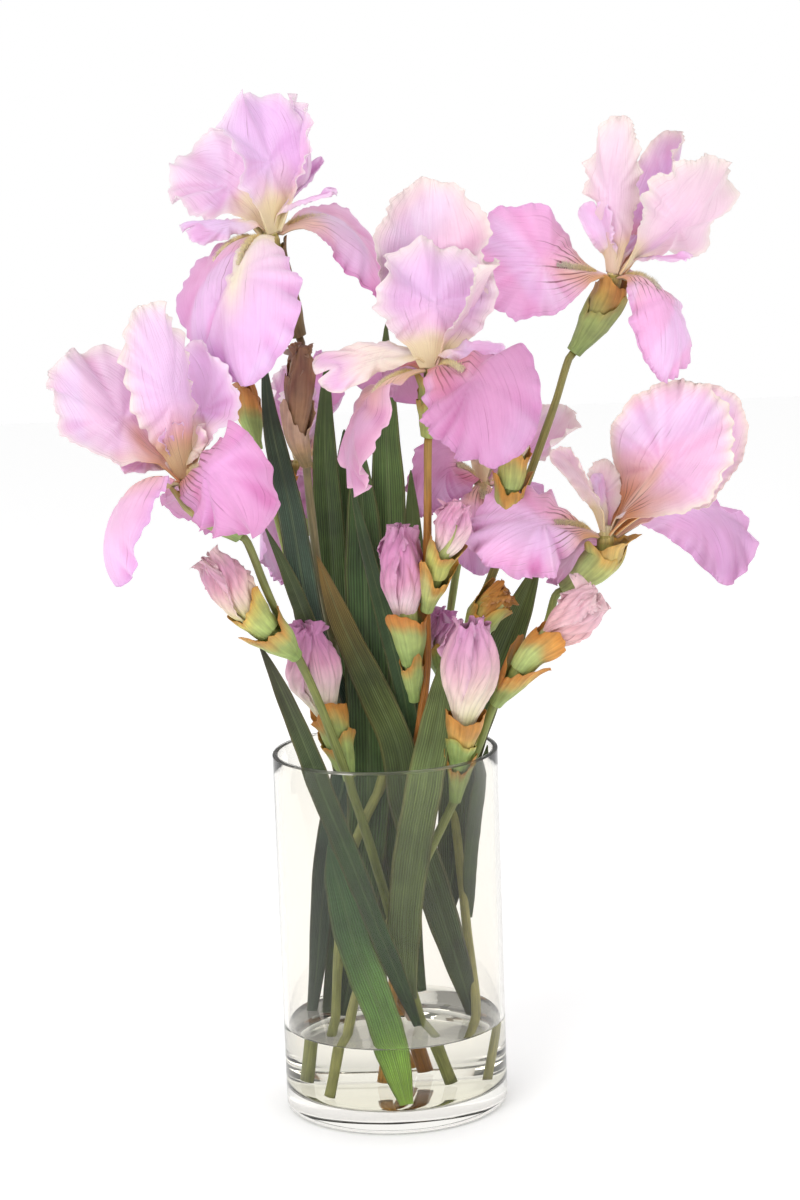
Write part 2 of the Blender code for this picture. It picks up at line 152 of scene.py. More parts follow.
# Soda-lime glass: IOR 1.52, polished, with the faint waves that drawing leaves about every 25 mm.
# Its mirror reflections are dimmed, because the pale studio would veil the stems behind them.
soda_glass, tree, shader = new_material("soda_lime_glass_fire_polished")
place = add_node(tree, "TexCoord").outputs["Object"]
stretched = stretch(tree, place, (40, 40, 9))
waves = noise(tree, stretched, 1, 1)
bump = relief(tree, waves, 0.04, 0.002)
smear = noise(tree, place, 60, 4)
haze = remap(tree, smear, (0.5, 0.8), (0.0, 0.03))
feed(tree, shader, {"Roughness": haze, "Normal": bump, "IOR": 1.52, "Transmission Weight": 1.0})
feed(tree, shader, {"Base Color": shade("FBF9F4"), "Specular Tint": (0.3, 0.3, 0.3, 1)})

# The rim is ground to a satin finish and so thin that half the light passes it unbent.
rim_glass = soda_glass.copy()
rim_glass.name = "soda_lime_glass_satin_rim"
tree = rim_glass.node_tree
shader = tree.nodes["Principled BSDF"]
ground = add_node(tree, "TexNoise", {"Scale": 900, "Detail": 2}).outputs[0]
satin = remap(tree, ground, (0.3, 0.7), (0.35, 0.5))
feed(tree, shader, {"Roughness": satin, "Alpha": 0.5, "Base Color": shade("F3EEE2")})
feed(tree, shader, {"Specular Tint": (1, 1, 1, 1)})

# Where the glass is wet, light passes from glass straight into water, so its IOR is 1.52 / 1.333.
wet_glass = soda_glass.copy()
wet_glass.name = "soda_lime_glass_wetted"
wet_glass.node_tree.nodes["Principled BSDF"].inputs["IOR"].default_value = 1.14

inner = VASE_RADIUS - VASE_WALL
lip = VASE_WALL / 2
vase_outline = (
    [(0, 0.9), (30, 0.8), (52, 0.5), (57, 0.05), (58.5, 0)]
    + rounded(VASE_RADIUS - HEEL, HEEL, HEEL, -84, 0, 9)
    + [(VASE_RADIUS, z) for z in (20, 60, 110, 160, 195)]
    + rounded(VASE_RADIUS - lip, VASE_HEIGHT - lip, lip, 0, 180, 13)
    + [(inner, z) for z in (195, 160, 110, 70, WET_TO, 35, 24)]
    + rounded(inner - 5, VASE_FLOOR + 5, 5, 0, -84, 8)
    + [(50, VASE_FLOOR - 0.1), (30, VASE_FLOOR - 0.3), (0, VASE_FLOOR - 0.4)]
)
vase = turned("glass_vase", vase_outline, 180, soda_glass)
vase.data.materials.append(wet_glass)
vase.data.materials.append(rim_glass)
for face in vase.data.polygons:
    middle = face.center / MM
    if math.hypot(middle.x, middle.y) < inner + 0.01 and VASE_FLOOR - 1 < middle.z < WET_TO:
        face.material_index = 1
    elif middle.z > VASE_HEIGHT - GROUND_RIM:
        face.material_index = 2
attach(vase, "root")
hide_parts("vase")


# ---- The water -------------------------------------------------------------------------------
# Clear tap water in the bottom of the vase. It wets the glass, so it has no gap there, and its
# surface climbs 1.5 mm up the wall.
fresh_water, tree, shader = new_material("tap_water_still")
place = add_node(tree, "TexCoord").outputs["Object"]
ripple = noise(tree, place, 55, 1)
bump = relief(tree, ripple, 0.12, 0.002)
feed(tree, shader, {"Base Color": shade("FCFDFA"), "Roughness": 0.0, "IOR": 1.333})
feed(tree, shader, {"Transmission Weight": 1.0, "Normal": bump})

# Against the glass the water has no surface of its own, so light goes straight on.
against_glass = fresh_water.copy()
against_glass.name = "tap_water_against_glass"
against_glass.node_tree.nodes["Principled BSDF"].inputs["IOR"].default_value = 1.0

wet = inner - 0.02
meniscus = [(wet - x, WATER_LEVEL + MENISCUS * math.exp(-x / 1.1)) for x in (0, 0.4, 0.9, 1.6, 2.6, 4, 6)]
water_outline = (
    [(0, VASE_FLOOR - 0.37), (30, VASE_FLOOR - 0.27), (50, VASE_FLOOR - 0.07)]
    + rounded(wet - 5, VASE_FLOOR + 5.03, 5, -84, 0, 8)
    + [(wet, 35)]
    + meniscus
    + [(30, WATER_LEVEL), (0, WATER_LEVEL)]
)
water = turned("vase_water", water_outline, 180, fresh_water)
water.data.materials.append(against_glass)
for face in water.data.polygons:
    if face.center.z < 35.1 * MM or math.hypot(face.center.x, face.center.y) > (wet - 0.1) * MM:
        face.material_index = 1
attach(water, "root")
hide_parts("water")


# ---- The stems -------------------------------------------------------------------------------
# Cut iris stems, fleshy and almost round, with a waxy skin. They lean on the rim and on each
# other, and their cut ends stand on the vase's floor. Each one fades from its own green.
# Each flower: where its petals meet, the compass angle and tilt of its axis, the end of its
# ovary, the stem from there to the floor, and the stem's colours from the flower to the foot.
STEM_RADIUS = 2.9
OVARY_TOP = 4.3  # below the petals' heart, as the neck is
NECK = 11
STEMS = {
    "iris_1": {
        "heart": (-52, -15, 495), "lean": (190, 10), "ovary_end": (-39, -6, 440),
        "stem": [
            (-39, 0, 404), (-38, 8, 364), (-34, 18, 306), (-27, 25, 258), (-20, 29, 202),
            (-11, 29, 140), (10, 32, 13),
        ],
        "skin": ["6E5B3C", "8A7F5A", "857F58", "5F6A33", "B8792E"],
    },
    "iris_2": {
        "heart": (33, -45, 422), "lean": (0, 2), "ovary_end": (30, -40, 386),
        "stem": [(28, -30, 339), (26, -22, 293), (24, -15, 247), (8, 3, 146), (-5, 10, 13)],
        "skin": ["A8863F", "B3722F", "AC6B2B", "C0944A", "E0A444"],
    },
    "iris_3": {
        "heart": (135, 0, 466), "lean": (0, 14), "ovary_end": (112, 2, 425),
        "stem": [
            (101, 2, 397), (80, -2, 344), (62, -3, 300), (32, 6, 231), (-7, 2, 176), (-25, 2, 130),
            (-37, 8, 13),
        ],
        "skin": ["8F8A50", "8A8445", "8B8C4C", "AEB36E", "A8AC62"],
    },
    "iris_4": {
        "heart": (126, -20, 325), "lean": (340, 8), "ovary_end": (102, -14, 295),
        "stem": [
            (91, -17, 274), (63, -22, 236), (52, -23, 210), (20, -31, 148), (-18, -28, 79),
            (-33, -25, 13),
        ],
        "skin": ["8C9A56", "8A9450", "8B9550", "B9B878", "B0B26A"],
    },
    "iris_5": {
        "heart": (-101, -62, 369), "lean": (185, 20), "ovary_end": (-74, -52, 337),
        "stem": [
            (-61, -45, 306), (-51, -38, 279), (-38, -31, 247), (-24, -25, 204), (-11, -19, 158),
            (12, -6, 60), (23, 0, 13),
        ],
        "skin": ["84894E", "7F8448", "7F8A4C", "86914C", "A3A75C"],
    },
    "iris_6": {
        "heart": (62, 84, 343), "lean": (40, 10), "ovary_end": (49, 76, 307),
        "stem": [(38, 60, 256), (33, 42, 197), (38, 34, 168), (44, 14, 90), (47, 3, 52), (42, -8, 14)],
        "skin": ["8C9A56", "8A9450", "A8A85C", "BDB870", "B4AE66"],
    },
    "iris_7": {
        "heart": (-44, 85, 360), "lean": (60, 8), "ovary_end": (-43, 74, 318),
        "stem": [(-40, 62, 270), (-32, 46, 205), (-22, 40, 149), (-11, 40, 77), (4, 42, 13)],
        "skin": ["8C9A56", "8A9450", "7F8142", "9A8F48", "DE9E40"],
    },
}


def unit(vector):
    return np.asarray(vector, float) / np.linalg.norm(vector)


def smooth_path(points, steps):
    """steps + 1 points on a smooth curve through the given points, evenly spaced."""
    p = np.asarray(points, float)
    p = np.vstack([2 * p[0] - p[1], p, 2 * p[-1] - p[-2]])
    step = np.linalg.norm(np.diff(p[1:-1], axis=0)[:, :3], axis=1)
    along = np.concatenate([[0], np.cumsum(step)])
    out = []
    for s in np.linspace(0, along[-1], steps + 1):
        i = min(np.searchsorted(along, s, side="right") - 1, len(step) - 1)
        k = (s - along[i]) / step[i]
        a, b, c, d = p[i : i + 4]
        start = (c - a) * step[i] / (step[max(i - 1, 0)] + step[i])
        end = (d - b) * step[i] / (step[i] + step[min(i + 1, len(step) - 1)])
        out.append(
            (2 * k**3 - 3 * k**2 + 1) * b
            + (k**3 - 2 * k**2 + k) * start
            + (3 * k**2 - 2 * k**3) * c
            + (k**3 - k**2) * end
        )
    return np.array(out)


def flower_axes(flower):
    """The heart, and the flower's own axes as columns, its third along the flower's axis."""
    towards, tilt = (math.radians(angle) for angle in flower["lean"])
    axis = np.array(
        [math.cos(towards) * math.sin(tilt), math.sin(towards) * math.sin(tilt), math.cos(tilt)]
    )
    right = unit(np.array([1.0, 0, 0]) - axis * axis[0])
    return np.array(flower["heart"], float), np.stack([right, np.cross(axis, right), axis], 1)


def blend_colours(stops, where):
    """Colours along a run of evenly spaced or placed hex stops, for each number in where."""
    if isinstance(stops[0], str):
        stops = list(zip(np.linspace(0, 1, len(stops)), stops))
    places = [place for place, _ in stops]
    colours = np.array([linear(hex_colour) for _, hex_colour in stops])
    where = np.asarray(where, float)
    return np.stack([np.interp(where, places, colours[:, i]) for i in range(3)], -1)


def tissue(name, points, faces, lie, dye, material):
    """A piece of plant tissue: its mesh, a "lie" UV map that runs with its fibres, and its dye."""
    mesh = bpy.data.meshes.new(name)
    mesh.from_pydata((np.asarray(points) * MM).tolist(), [], faces)
    corners = np.empty(len(mesh.loops), np.int32)
    mesh.loops.foreach_get("vertex_index", corners)
    uv = mesh.uv_layers.new(name="lie")
    uv.data.foreach_set("uv", np.asarray(lie, np.float32)[corners].ravel())
    colour = mesh.color_attributes.new("dye", "FLOAT_COLOR", "POINT")
    dye = np.asarray(dye, np.float32)
    if dye.shape[1] == 3:
        dye = np.hstack([dye, np.ones((len(dye), 1), np.float32)])
    colour.data.foreach_set("color", dye.ravel())
    mesh.shade_smooth()
    mesh.materials.append(material)
    made = bpy.data.objects.new(name, mesh)
    bpy.context.scene.collection.objects.link(made)
    return made


def frames_along(path):
    """Two directions square to a path and to each other at each point, without twist."""
    tangent = np.gradient(path, axis=0)
    tangent /= np.linalg.norm(tangent, axis=1)[:, None]
    side = np.empty_like(path)
    side[0] = unit(np.cross(tangent[0], [0.1, 1, 0.05]))
    for i in range(1, len(path)):
        side[i] = unit(side[i - 1] - tangent[i] * (side[i - 1] @ tangent[i]))
    return side, np.cross(tangent, side)


def round_rod(name, path, radii, colours, material, sides=20):
    """A closed round rod along a path, with its radius and colour at each point."""
    side, up = frames_along(path)
    turn = 2 * np.pi * np.arange(sides) / sides
    ring = np.cos(turn)[None, :, None] * side[:, None] + np.sin(turn)[None, :, None] * up[:, None]
    points = (path[:, None] + ring * np.asarray(radii)[:, None, None]).reshape(-1, 3)
    rows = len(path)
    faces = [
        (i * sides + j, i * sides + (j + 1) % sides, (i + 1) * sides + (j + 1) % sides, (i + 1) * sides + j)
        for i in range(rows - 1)
        for j in range(sides)
    ]
    faces.append(tuple(range(sides - 1, -1, -1)))
    faces.append(tuple((rows - 1) * sides + j for j in range(sides)))
    length = np.concatenate([[0], np.cumsum(np.linalg.norm(np.diff(path, axis=0), axis=1))])
    lie = np.stack([np.tile(turn / 2 / np.pi, rows), np.repeat(length / 100, sides)], 1)
    dye = np.repeat(colours, sides, axis=0)
    return tissue(name, points, faces, lie, dye, material)


# Stem skin: waxy green cuticle over fibres that run up the stem about 0.7 mm apart.
stem_skin, tree, shader = new_material("iris_stem_waxy_skin")
dye = add_node(tree, "Attribute", attribute_name="dye").outputs["Color"]
lie = add_node(tree, "UVMap", uv_map="lie").outputs[0]
place = add_node(tree, "TexCoord").outputs["Object"]
fibre = stretch(tree, lie, (26, 5, 1))
fibres = noise(tree, fibre, 1, 2)
blotch = noise(tree, place, 90, 3)
dark = remap(tree, fibres, (0.35, 0.7), (0.72, 1.18))
mottle = remap(tree, blotch, (0.3, 0.7), (0.85, 1.12))
value = combine(tree, "Math", "MULTIPLY", dark, mottle)
skin = combine(tree, "VectorMath", "MULTIPLY", dye, value)
bump = relief(tree, fibres, 0.35, 0.0004)
rough = remap(tree, blotch, (0.3, 0.7), (0.42, 0.58))
feed(tree, shader, {"Base Color": skin, "Roughness": rough, "Normal": bump})
feed(tree, shader, {"Subsurface Weight": 0.15, "Subsurface Radius": (0.002, 0.002, 0.0008)})

for name, flower in STEMS.items():
    heart, axes = flower_axes(flower)
    axis = axes[:, 2]
    below, neck = heart - axis * OVARY_TOP, heart - axis * NECK
    end = np.array(flower["ovary_end"], float)
    middle = neck + (end - neck) * 0.5 + (neck - below) * 0.3
    flower["ovary"] = smooth_path([below, neck, middle, end], 24)
    down = unit(flower["ovary"][-1] - flower["ovary"][-2])
    path = smooth_path([end + down * 0.3, end + down * 5, *flower["stem"]], 110)
    flower["path"] = path
    run = np.linspace(0, 1, len(path))
    swell = 1 + 0.03 * np.sin(run * 37 + heart[0]) + 0.02 * np.sin(run * 83)
    colours = blend_colours(flower["skin"], run)
    taper = np.interp(run, [0, 0.35, 1], [0.74, 0.86, 1.0])
    stem = round_rod(f"{name}_stem_rod", path, STEM_RADIUS * taper * swell, colours, stem_skin)
    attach(stem, "root")
    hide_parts(f"{name}_stem")


# ---- The sword leaves ------------------------------------------------------------------------
# Iris leaves: stiff flat blades, folded once at the base, with parallel veins from end to end.
# They are dark green with a grey bloom, drier and browner at some tips, and thinnest at their edges.
# Each: width, midrib from base to tip, twist and fold in degrees, and colours from base to tip.
LEAVES = {
    "leaf_1": (17, [
        (-49, 22, 45), (-45, 26, 70), (-40, 27, 111), (-33, 26, 153), (-20.3, 24.9, 204.5),
        (-38, 12, 269), (-48, 7, 342), (-57, 9, 393), (-60, 12, 431),
    ], 8, 10, ["3D5237", "374D38", "364C3C", "3A513D", "40573E"]),
    "leaf_2": (20, [
        (-40, 26, 37), (-34, 29, 72), (-26, 33, 115), (-16.3, 33.2, 175.6),
        (-21, 36, 221), (-26, 38, 274), (-27, 36, 320), (-28, 34, 372),
        (-25, 34, 426),
    ], -8, 16, ["3F5227", "4B5F2D", "506633", "4F6632", "4A612B"]),
    "leaf_3": (26, [
        (-30, 10, 46), (-23, 10, 80), (-17, 8, 122), (-10.7, 5.8, 169.1), (-9, 12, 231),
        (-8, 14, 289), (-8, 15, 345), (-10, 16, 386),
    ], 6, 14, ["3B5029", "43592F", "4A6238", "435E34", "455E2D"]),
    "leaf_4": (21, [
        (15, 10, 60), (11, 8, 97), (7.2, 7.7, 139.4), (5, 12, 179), (4, 18, 230), (6, 21, 287),
        (7, 23, 344), (7, 24, 400), (9, 24, 443),
    ], 10, -14, ["41542B", "465B2D", "486130", "4E6834", "516832"]),
    "leaf_5": (11, [
        (5, 4, 78), (9, 2, 128), (15.7, -0.9, 194.8), (12, 2, 234), (3, 4, 278), (-6, 4, 318),
        (-14, 5, 357),
    ], 6, 14, ["3A4C29", "3D5330", "38502E", "3C5433", "405732"]),
    "leaf_6": (21, [
        (46, 6, 44), (40, 5, 67), (30, 1, 104), (20, -4, 141), (11.8, -4.6, 171.9),
        (7, -13, 211), (-5, 2, 239), (-22, 5, 279), (-34, 4, 316),
    ], 12, 18, ["3C4A29", "41502B", "4A5A2E", "4D582E", "81652F"]),
    "leaf_7": (13, [
        (-5, 18, 49), (-10, 20, 89), (-15, 24, 129), (-16.6, 25.2, 177.8),
        (-30, 12, 232), (-40, 6, 274), (-52, 5, 309), (-63, 5, 334),
    ], 10, 12, ["3A4C29", "384A2A", "3B4D2E", "42522F", "4A592E"]),
    "leaf_8": (14, [
        (13, -28, 52), (5, -37, 78), (-8, -44, 117), (-22, -45, 158), (-36, -42, 196), (-47, -38, 226),
        (-58, -36, 254), (-67, -34, 275),
    ], 15, 22, ["324E25", "344F2A", "37502B", "3F4A2C", "4A4535"]),
    "leaf_9": (21, [
        (9, -30, 68), (7, -36, 108), (13, -41, 155), (22, -38, 196), (29, -29, 222), (39, -18, 270),
    ], -10, 14, ["5B693A", "59683C", "5C6C3D", "617042", "6C7946"]),
    "leaf_10": (23, [
        (31, 26, 98), (37, 29, 126), (39.7, 30.7, 159.1), (44, 20, 193), (52, 12, 221),
        (67, 13, 254), (81, 16, 285), (91, 18, 307),
    ], -14, 16, ["455329", "48562B", "46582B", "4B5E2E", "5B692E"]),
    "leaf_11": (17, [
        (-14, 22, 49), (-4.6, 25.8, 100.8), (2, 20, 147), (10, 22, 194), (17, 28, 256), (20, 28, 308),
        (20, 24, 360),
    ], 8, 14, ["4A5B28", "495A2F", "485A30", "4E6131", "526632"]),
    "leaf_12": (9, [
        (45.5, 20.1, 100.3), (47, 17, 135), (52, 12, 171), (58, 6, 204),
    ], 5, 14, ["4E6033", "4D5F32", "506335", "566838"]),
    "leaf_13": (21, [
        (5.0, -46.0, 13.4), (-5, -45, 58), (-20, -40, 103), (-28, -34, 136), (-33, -28, 158),
    ], -8, 20, ["A2CC52", "6F9C48", "4C7440", "42623E"]),
    "leaf_14": (22, [
        (-25.3, 45.2, 167.3), (-20, 50, 212), (-17, 50, 271), (-17, 48, 330), (-17, 46, 382),
    ], 8, 14, ["3C5129", "42572D", "465E2E", "496332", "4E6733"]),
}

def bands(tree, vector, distortion, detail, detail_scale):
    """Ribs side by side along X, 0.314 apart before the stretch."""
    inputs = {"Vector": vector, "Scale": 1.0, "Distortion": distortion, "Detail": detail}
    ribs = add_node(tree, "TexWave", inputs | {"Detail Scale": detail_scale}, bands_direction="X")
    return ribs.outputs[0]


# Leaf blade: a grey-green cuticle with a soft shine, ribbed by parallel veins. They are drawn
# about 1.4 mm apart, coarser than the real ones, so that they show.
leaf_blade, tree, shader = new_material("iris_leaf_waxy_blade")
dye = add_node(tree, "Attribute", attribute_name="dye").outputs["Color"]
lie = add_node(tree, "UVMap", uv_map="lie").outputs[0]
place = add_node(tree, "TexCoord").outputs["Object"]
across = stretch(tree, lie, (4.6, 0.5, 1))
ribs = bands(tree, across, 0.9, 2, 0.8)
fine = stretch(tree, lie, (26, 1.1, 1))
threads = noise(tree, fine, 1, 3)
cloud = noise(tree, place, 38, 4)
ribbed = remap(tree, ribs, (0.0, 1.0), (0.74, 1.34))
thread = remap(tree, threads, (0.3, 0.7), (0.68, 1.42))
patch = remap(tree, cloud, (0.3, 0.72), (0.72, 1.45))
value = combine(tree, "Math", "MULTIPLY", ribbed, thread)
value = combine(tree, "Math", "MULTIPLY", value, patch)
green = combine(tree, "VectorMath", "MULTIPLY", dye, value)
height = combine(tree, "Math", "ADD", ribs, threads)
bump = relief(tree, height, 0.45, 0.0004)
rough = remap(tree, cloud, (0.3, 0.7), (0.40, 0.55))
feed(tree, shader, {"Base Color": green, "Roughness": rough, "Normal": bump})
feed(tree, shader, {"Sheen Weight": 0.15, "Sheen Roughness": 0.5})


def shell(name, grid, thickness, lie, front, back, material, normal=None):
    """A closed thin shell along a grid of points, with a dye for each of its two faces."""
    rows, columns = grid.shape[:2]
    if normal is None:
        normal = np.cross(np.gradient(grid, axis=0), np.gradient(grid, axis=1))
        normal /= np.maximum(np.linalg.norm(normal, axis=2), 1e-9)[..., None]
    half = normal * (np.broadcast_to(thickness, (rows, columns)) / 2)[..., None]
    points = np.concatenate([(grid + half).reshape(-1, 3), (grid - half).reshape(-1, 3)])
    count = rows * columns
    index = np.arange(count).reshape(rows, columns)
    top = np.stack([index[:-1, :-1], index[1:, :-1], index[1:, 1:], index[:-1, 1:]], -1).reshape(-1, 4)
    faces = np.concatenate([top, top[:, ::-1] + count])
    ring = np.concatenate([index[0, :-1], index[:-1, -1], index[-1, :0:-1], index[:0:-1, 0]])
    after = np.roll(ring, -1)
    rim = np.stack([ring, after, after + count, ring + count], 1)
    faces = np.concatenate([faces, rim])
    lie = np.concatenate([lie.reshape(-1, 2)] * 2)
    dye = np.concatenate([front.reshape(count, -1), back.reshape(count, -1)])
    return tissue(name, points, faces.tolist(), lie, dye, material)


for number, (name, (width, midrib, twist, fold, colours)) in enumerate(LEAVES.items()):
    rows, columns = 130, 17
    path = smooth_path(midrib, rows - 1)
    u = np.linspace(0, 1, rows)
    tangent = np.gradient(path, axis=0)
    across = np.cross(tangent, [0, -1, 0])
    across /= np.linalg.norm(across, axis=1)[:, None]
    face = np.cross(across, tangent / np.linalg.norm(tangent, axis=1)[:, None])
    turn = np.radians(twist * np.sin(u * 4 + number))[:, None]
    across, face = across * np.cos(turn) + face * np.sin(turn), face * np.cos(turn) - across * np.sin(turn)
    places = [0, 0.08, 0.2, 0.5, 0.74, 0.88, 0.96, 1]
    share = np.interp(u, places, [0.35, 0.62, 0.92, 1, 0.95, 0.66, 0.3, 0.02])
    share = np.convolve(np.pad(share, 6, "edge"), np.hanning(15)[1:-1] / np.hanning(15).sum(), "valid")
    share[-1] = 0.02
    v = np.linspace(-1, 1, columns)
    half = width / 2 * share * (1 + 0.02 * np.sin(u * 31 + number) + 0.012 * np.sin(u * 67))
    bend = math.radians(fold)
    sway = 0.5 * np.sin(u[:, None] * 19 + v * 2 + number) * np.abs(v) ** 2
    grid = path[:, None] + across[:, None] * (half[:, None] * v * math.cos(bend))[..., None]
    grid += face[:, None] * (half[:, None] * np.abs(v) * math.sin(bend) * 0.6 + sway)[..., None]
    length = np.linalg.norm(np.diff(path, axis=0), axis=1).sum()
    lie = np.stack(np.broadcast_arrays(v * 0.5, u[:, None] * length / 40), -1)
    dye = np.repeat(blend_colours(colours, u)[:, None], columns, axis=1)
    dry = np.clip((np.abs(v) - 0.82) / 0.18, 0, 1)[None, :, None] * 0.45
    dye = dye * (1 - dry) + linear("7A6A3C") * dry
    pale = np.exp(-((v / 0.07) ** 2))[None, :, None] * 0.30
    dye = dye * (1 - pale) + linear("7F9160") * pale
    thickness = 0.15 + 0.75 * (1 - np.abs(v) ** 3)
    leaf = shell(f"{name}_blade", grid, thickness[None], lie, dye, dye * 0.85, leaf_blade)
    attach(leaf, "root")
    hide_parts(name)


# ---- The flowers -----------------------------------------------------------------------------
# Each bearded iris has three falls that hang, three standards that rise over them, and three
# style arms between. All are thin living tissue, crimped where the margin outgrew the blade.
# Each petal: compass angle, rise at its base, rise at its tip, length, width, roll about its
# midrib, cupping, how early it bends (degrees and mm; 270 points at the viewer), then its
# colouring, how far its margin waves, and how many waves run round it.
FLOWERS = {
    "iris_1": {
        "falls": [
            (243, 40, -95, 106, 76, 8, -60, 0.5, "creamy", 1.5, 11),
            (215, 34, -118, 100, 40, -15, -20, 0.7, "orchid", 1.8, 10),
            (30, 36, -104, 98, 50, 52, -40, 0.8, "rosy_back", 1.5, 11),
        ],
        "standards": [
            (150, 65, 15, 64, 60, -40, 20, 1.0, "pale", 2.4, 9),
            (320, 70, 118, 72, 54, -10, -25, 1.3, "lilac", 2.6, 8),
            (40, 30, 80, 72, 60, -10, 20, 0.5, "pale", 2.4, 9),
        ],
        "style_arms": [
            (350, 20, 0, 40, 16, 0, -40, 1.0, "arm", 0.8, 7),
            (20, 30, 40, 44, 16, 0, -40, 0.8, "arm", 0.8, 7),
            (210, 5, 5, 48, 26, -35, -75, 0.9, "arm", 1.2, 8),
        ],
    },
    "iris_2": {
        "falls": [
            (295, 36, -95, 92, 68, 45, -25, 0.8, "mauve", 1.7, 12),
            (200, 5, -120, 90, 46, 0, -30, 0.9, "peach_mauve", 2.2, 9),
            (95, 40, -85, 74, 78, -15, -35, 1.0, "mauve", 2.0, 10),
        ],
        "standards": [
            (90, 80, 88, 94, 70, 0, 55, 1.2, "cream_pink", 1.6, 12),
            (275, 64, 118, 62, 68, 8, -30, 0.7, "lilac_frill", 2.8, 12),
            (350, 50, 72, 60, 40, -5, 10, 1.2, "cream_pink", 1.9, 8),
        ],
        "style_arms": [
            (195, 4, -24, 64, 30, -70, -30, 0.8, "cream_arm", 1.2, 7),
            (325, 14, -18, 42, 26, 50, -30, 0.8, "arm", 1.0, 6),
            (75, 55, 45, 26, 14, 0, -40, 1.0, "cream_arm", 0.6, 6),
        ],
    },
    "iris_3": {
        "falls": [
            (195, 4, -16, 80, 64, -82, -15, 1.0, "orchid_veined", 1.0, 15),
            (315, 40, -105, 84, 48, 10, -60, 0.7, "orchid_veined", 1.9, 11),
            (60, 20, -50, 46, 32, 20, -50, 1.0, "mauve", 1.5, 9),
        ],
        "standards": [
            (235, 55, 95, 84, 34, 25, 60, 1.4, "cream_pink", 1.6, 12),
            (55, 30, 110, 88, 48, -15, 70, 1.0, "lilac_cream", 2.2, 9),
            (355, 36, 92, 80, 84, -34, 14, 1.2, "cream_pink", 1.2, 15),
        ],
        "style_arms": [
            (215, 35, 70, 36, 26, 30, -35, 1.1, "arm", 0.9, 6),
            (340, 20, 10, 40, 16, 10, -45, 1.0, "arm", 0.8, 6),
            (60, 45, 30, 24, 12, 0, -45, 1.0, "arm", 0.5, 6),
        ],
    },
    "iris_4": {
        "falls": [
            (192, 40, -52, 74, 60, -55, -35, 0.7, "orchid_veined", 2.4, 13),
            (30, 40, -100, 112, 46, -45, -40, 1.3, "orchid", 2.0, 12),
            (130, -10, -90, 48, 42, -5, -25, 0.9, "mauve", 1.8, 9),
        ],
        "standards": [
            (348, 54, 70, 92, 72, 72, 14, 1.0, "cream_crimped", 1.3, 18),
            (20, 43, 58, 98, 62, 62, 20, 1.0, "cream_crimped", 1.3, 13),
            (105, 50, 80, 36, 22, 0, 40, 1.2, "cream_pink", 1.0, 8),
        ],
        "style_arms": [
            (205, 55, 45, 52, 26, 20, -50, 1.1, "cream_arm", 1.0, 7),
            (335, 35, 20, 28, 14, 0, -45, 1.0, "cream_arm", 0.5, 6),
            (120, 60, 60, 26, 12, 5, -40, 1.0, "arm", 0.5, 6),
        ],
    },
    "iris_5": {
        "falls": [
            (297, 38, -94, 80, 62, 58, -24, 0.9, "mauve_veined", 2.2, 11),
            (230, 32, -98, 92, 58, 22, -45, 1.2, "peach_veined", 1.8, 10),
            (80, -10, -65, 68, 60, 15, -10, 0.8, "mauve", 1.8, 9),
        ],
        "standards": [
            (185, 66, 66, 84, 70, -46, 8, 1.2, "pale_amber", 1.3, 13),
            (300, 50, 85, 98, 46, 0, 60, 1.0, "lilac_cream", 2.2, 13),
            (25, 40, 110, 68, 52, 15, -15, 1.7, "lilac", 2.2, 9),
        ],
        "style_arms": [
            (205, 40, 25, 34, 26, -50, -60, 1.1, "arm", 1.0, 6),
            (285, 60, 40, 30, 20, 15, -55, 1.0, "arm", 0.7, 6),
            (350, 10, 70, 24, 26, 5, -75, 0.9, "cream_arm", 0.7, 6),
        ],
    },
    "iris_6": {
        "falls": [
            (235, 40, -110, 72, 40, -70, -5, 1.3, "mauve", 1.8, 10),
            (270, 0, -90, 80, 36, -5, -40, 1.0, "peach_veined", 1.8, 10),
            (50, 30, -105, 62, 32, -20, -35, 1.2, "orchid", 1.6, 9),
        ],
        "standards": [
            (20, 25, 65, 64, 40, 40, 60, 1.2, "cream_pink", 1.6, 9),
            (100, 40, 80, 60, 40, -5, 75, 1.2, "pale", 1.6, 9),
            (245, 40, 100, 44, 30, 10, 65, 1.2, "pale", 1.4, 8),
        ],
        "style_arms": [
            (200, 50, 20, 28, 14, 0, -45, 1.0, "arm", 0.5, 6),
            (285, 50, 15, 26, 14, 0, -45, 1.0, "arm", 0.5, 6),
            (70, 50, 20, 28, 14, 0, -45, 1.0, "arm", 0.5, 6),
        ],
    },
    "iris_7": {
        "falls": [
            (135, 20, -130, 88, 54, -25, -40, 0.5, "orchid", 1.8, 11),
            (305, -5, -110, 48, 36, -20, -30, 0.8, "mauve", 1.6, 9),
            (65, 35, -100, 60, 30, 0, -45, 1.1, "orchid", 1.6, 9),
        ],
        "standards": [
            (30, 50, 120, 62, 44, 0, 30, 1.2, "orchid", 1.8, 9),
            (105, 35, 85, 60, 32, -15, 75, 1.2, "pale", 1.6, 9),
            (255, 60, 105, 44, 28, -5, 70, 1.3, "pale", 1.4, 8),
        ],
        "style_arms": [
            (180, 50, 20, 28, 14, 0, -45, 1.0, "arm", 0.5, 6),
            (300, 50, 20, 28, 14, 0, -45, 1.0, "arm", 0.5, 6),
            (60, 50, 25, 26, 14, 0, -45, 1.0, "arm", 0.5, 6),
        ],
    },
}
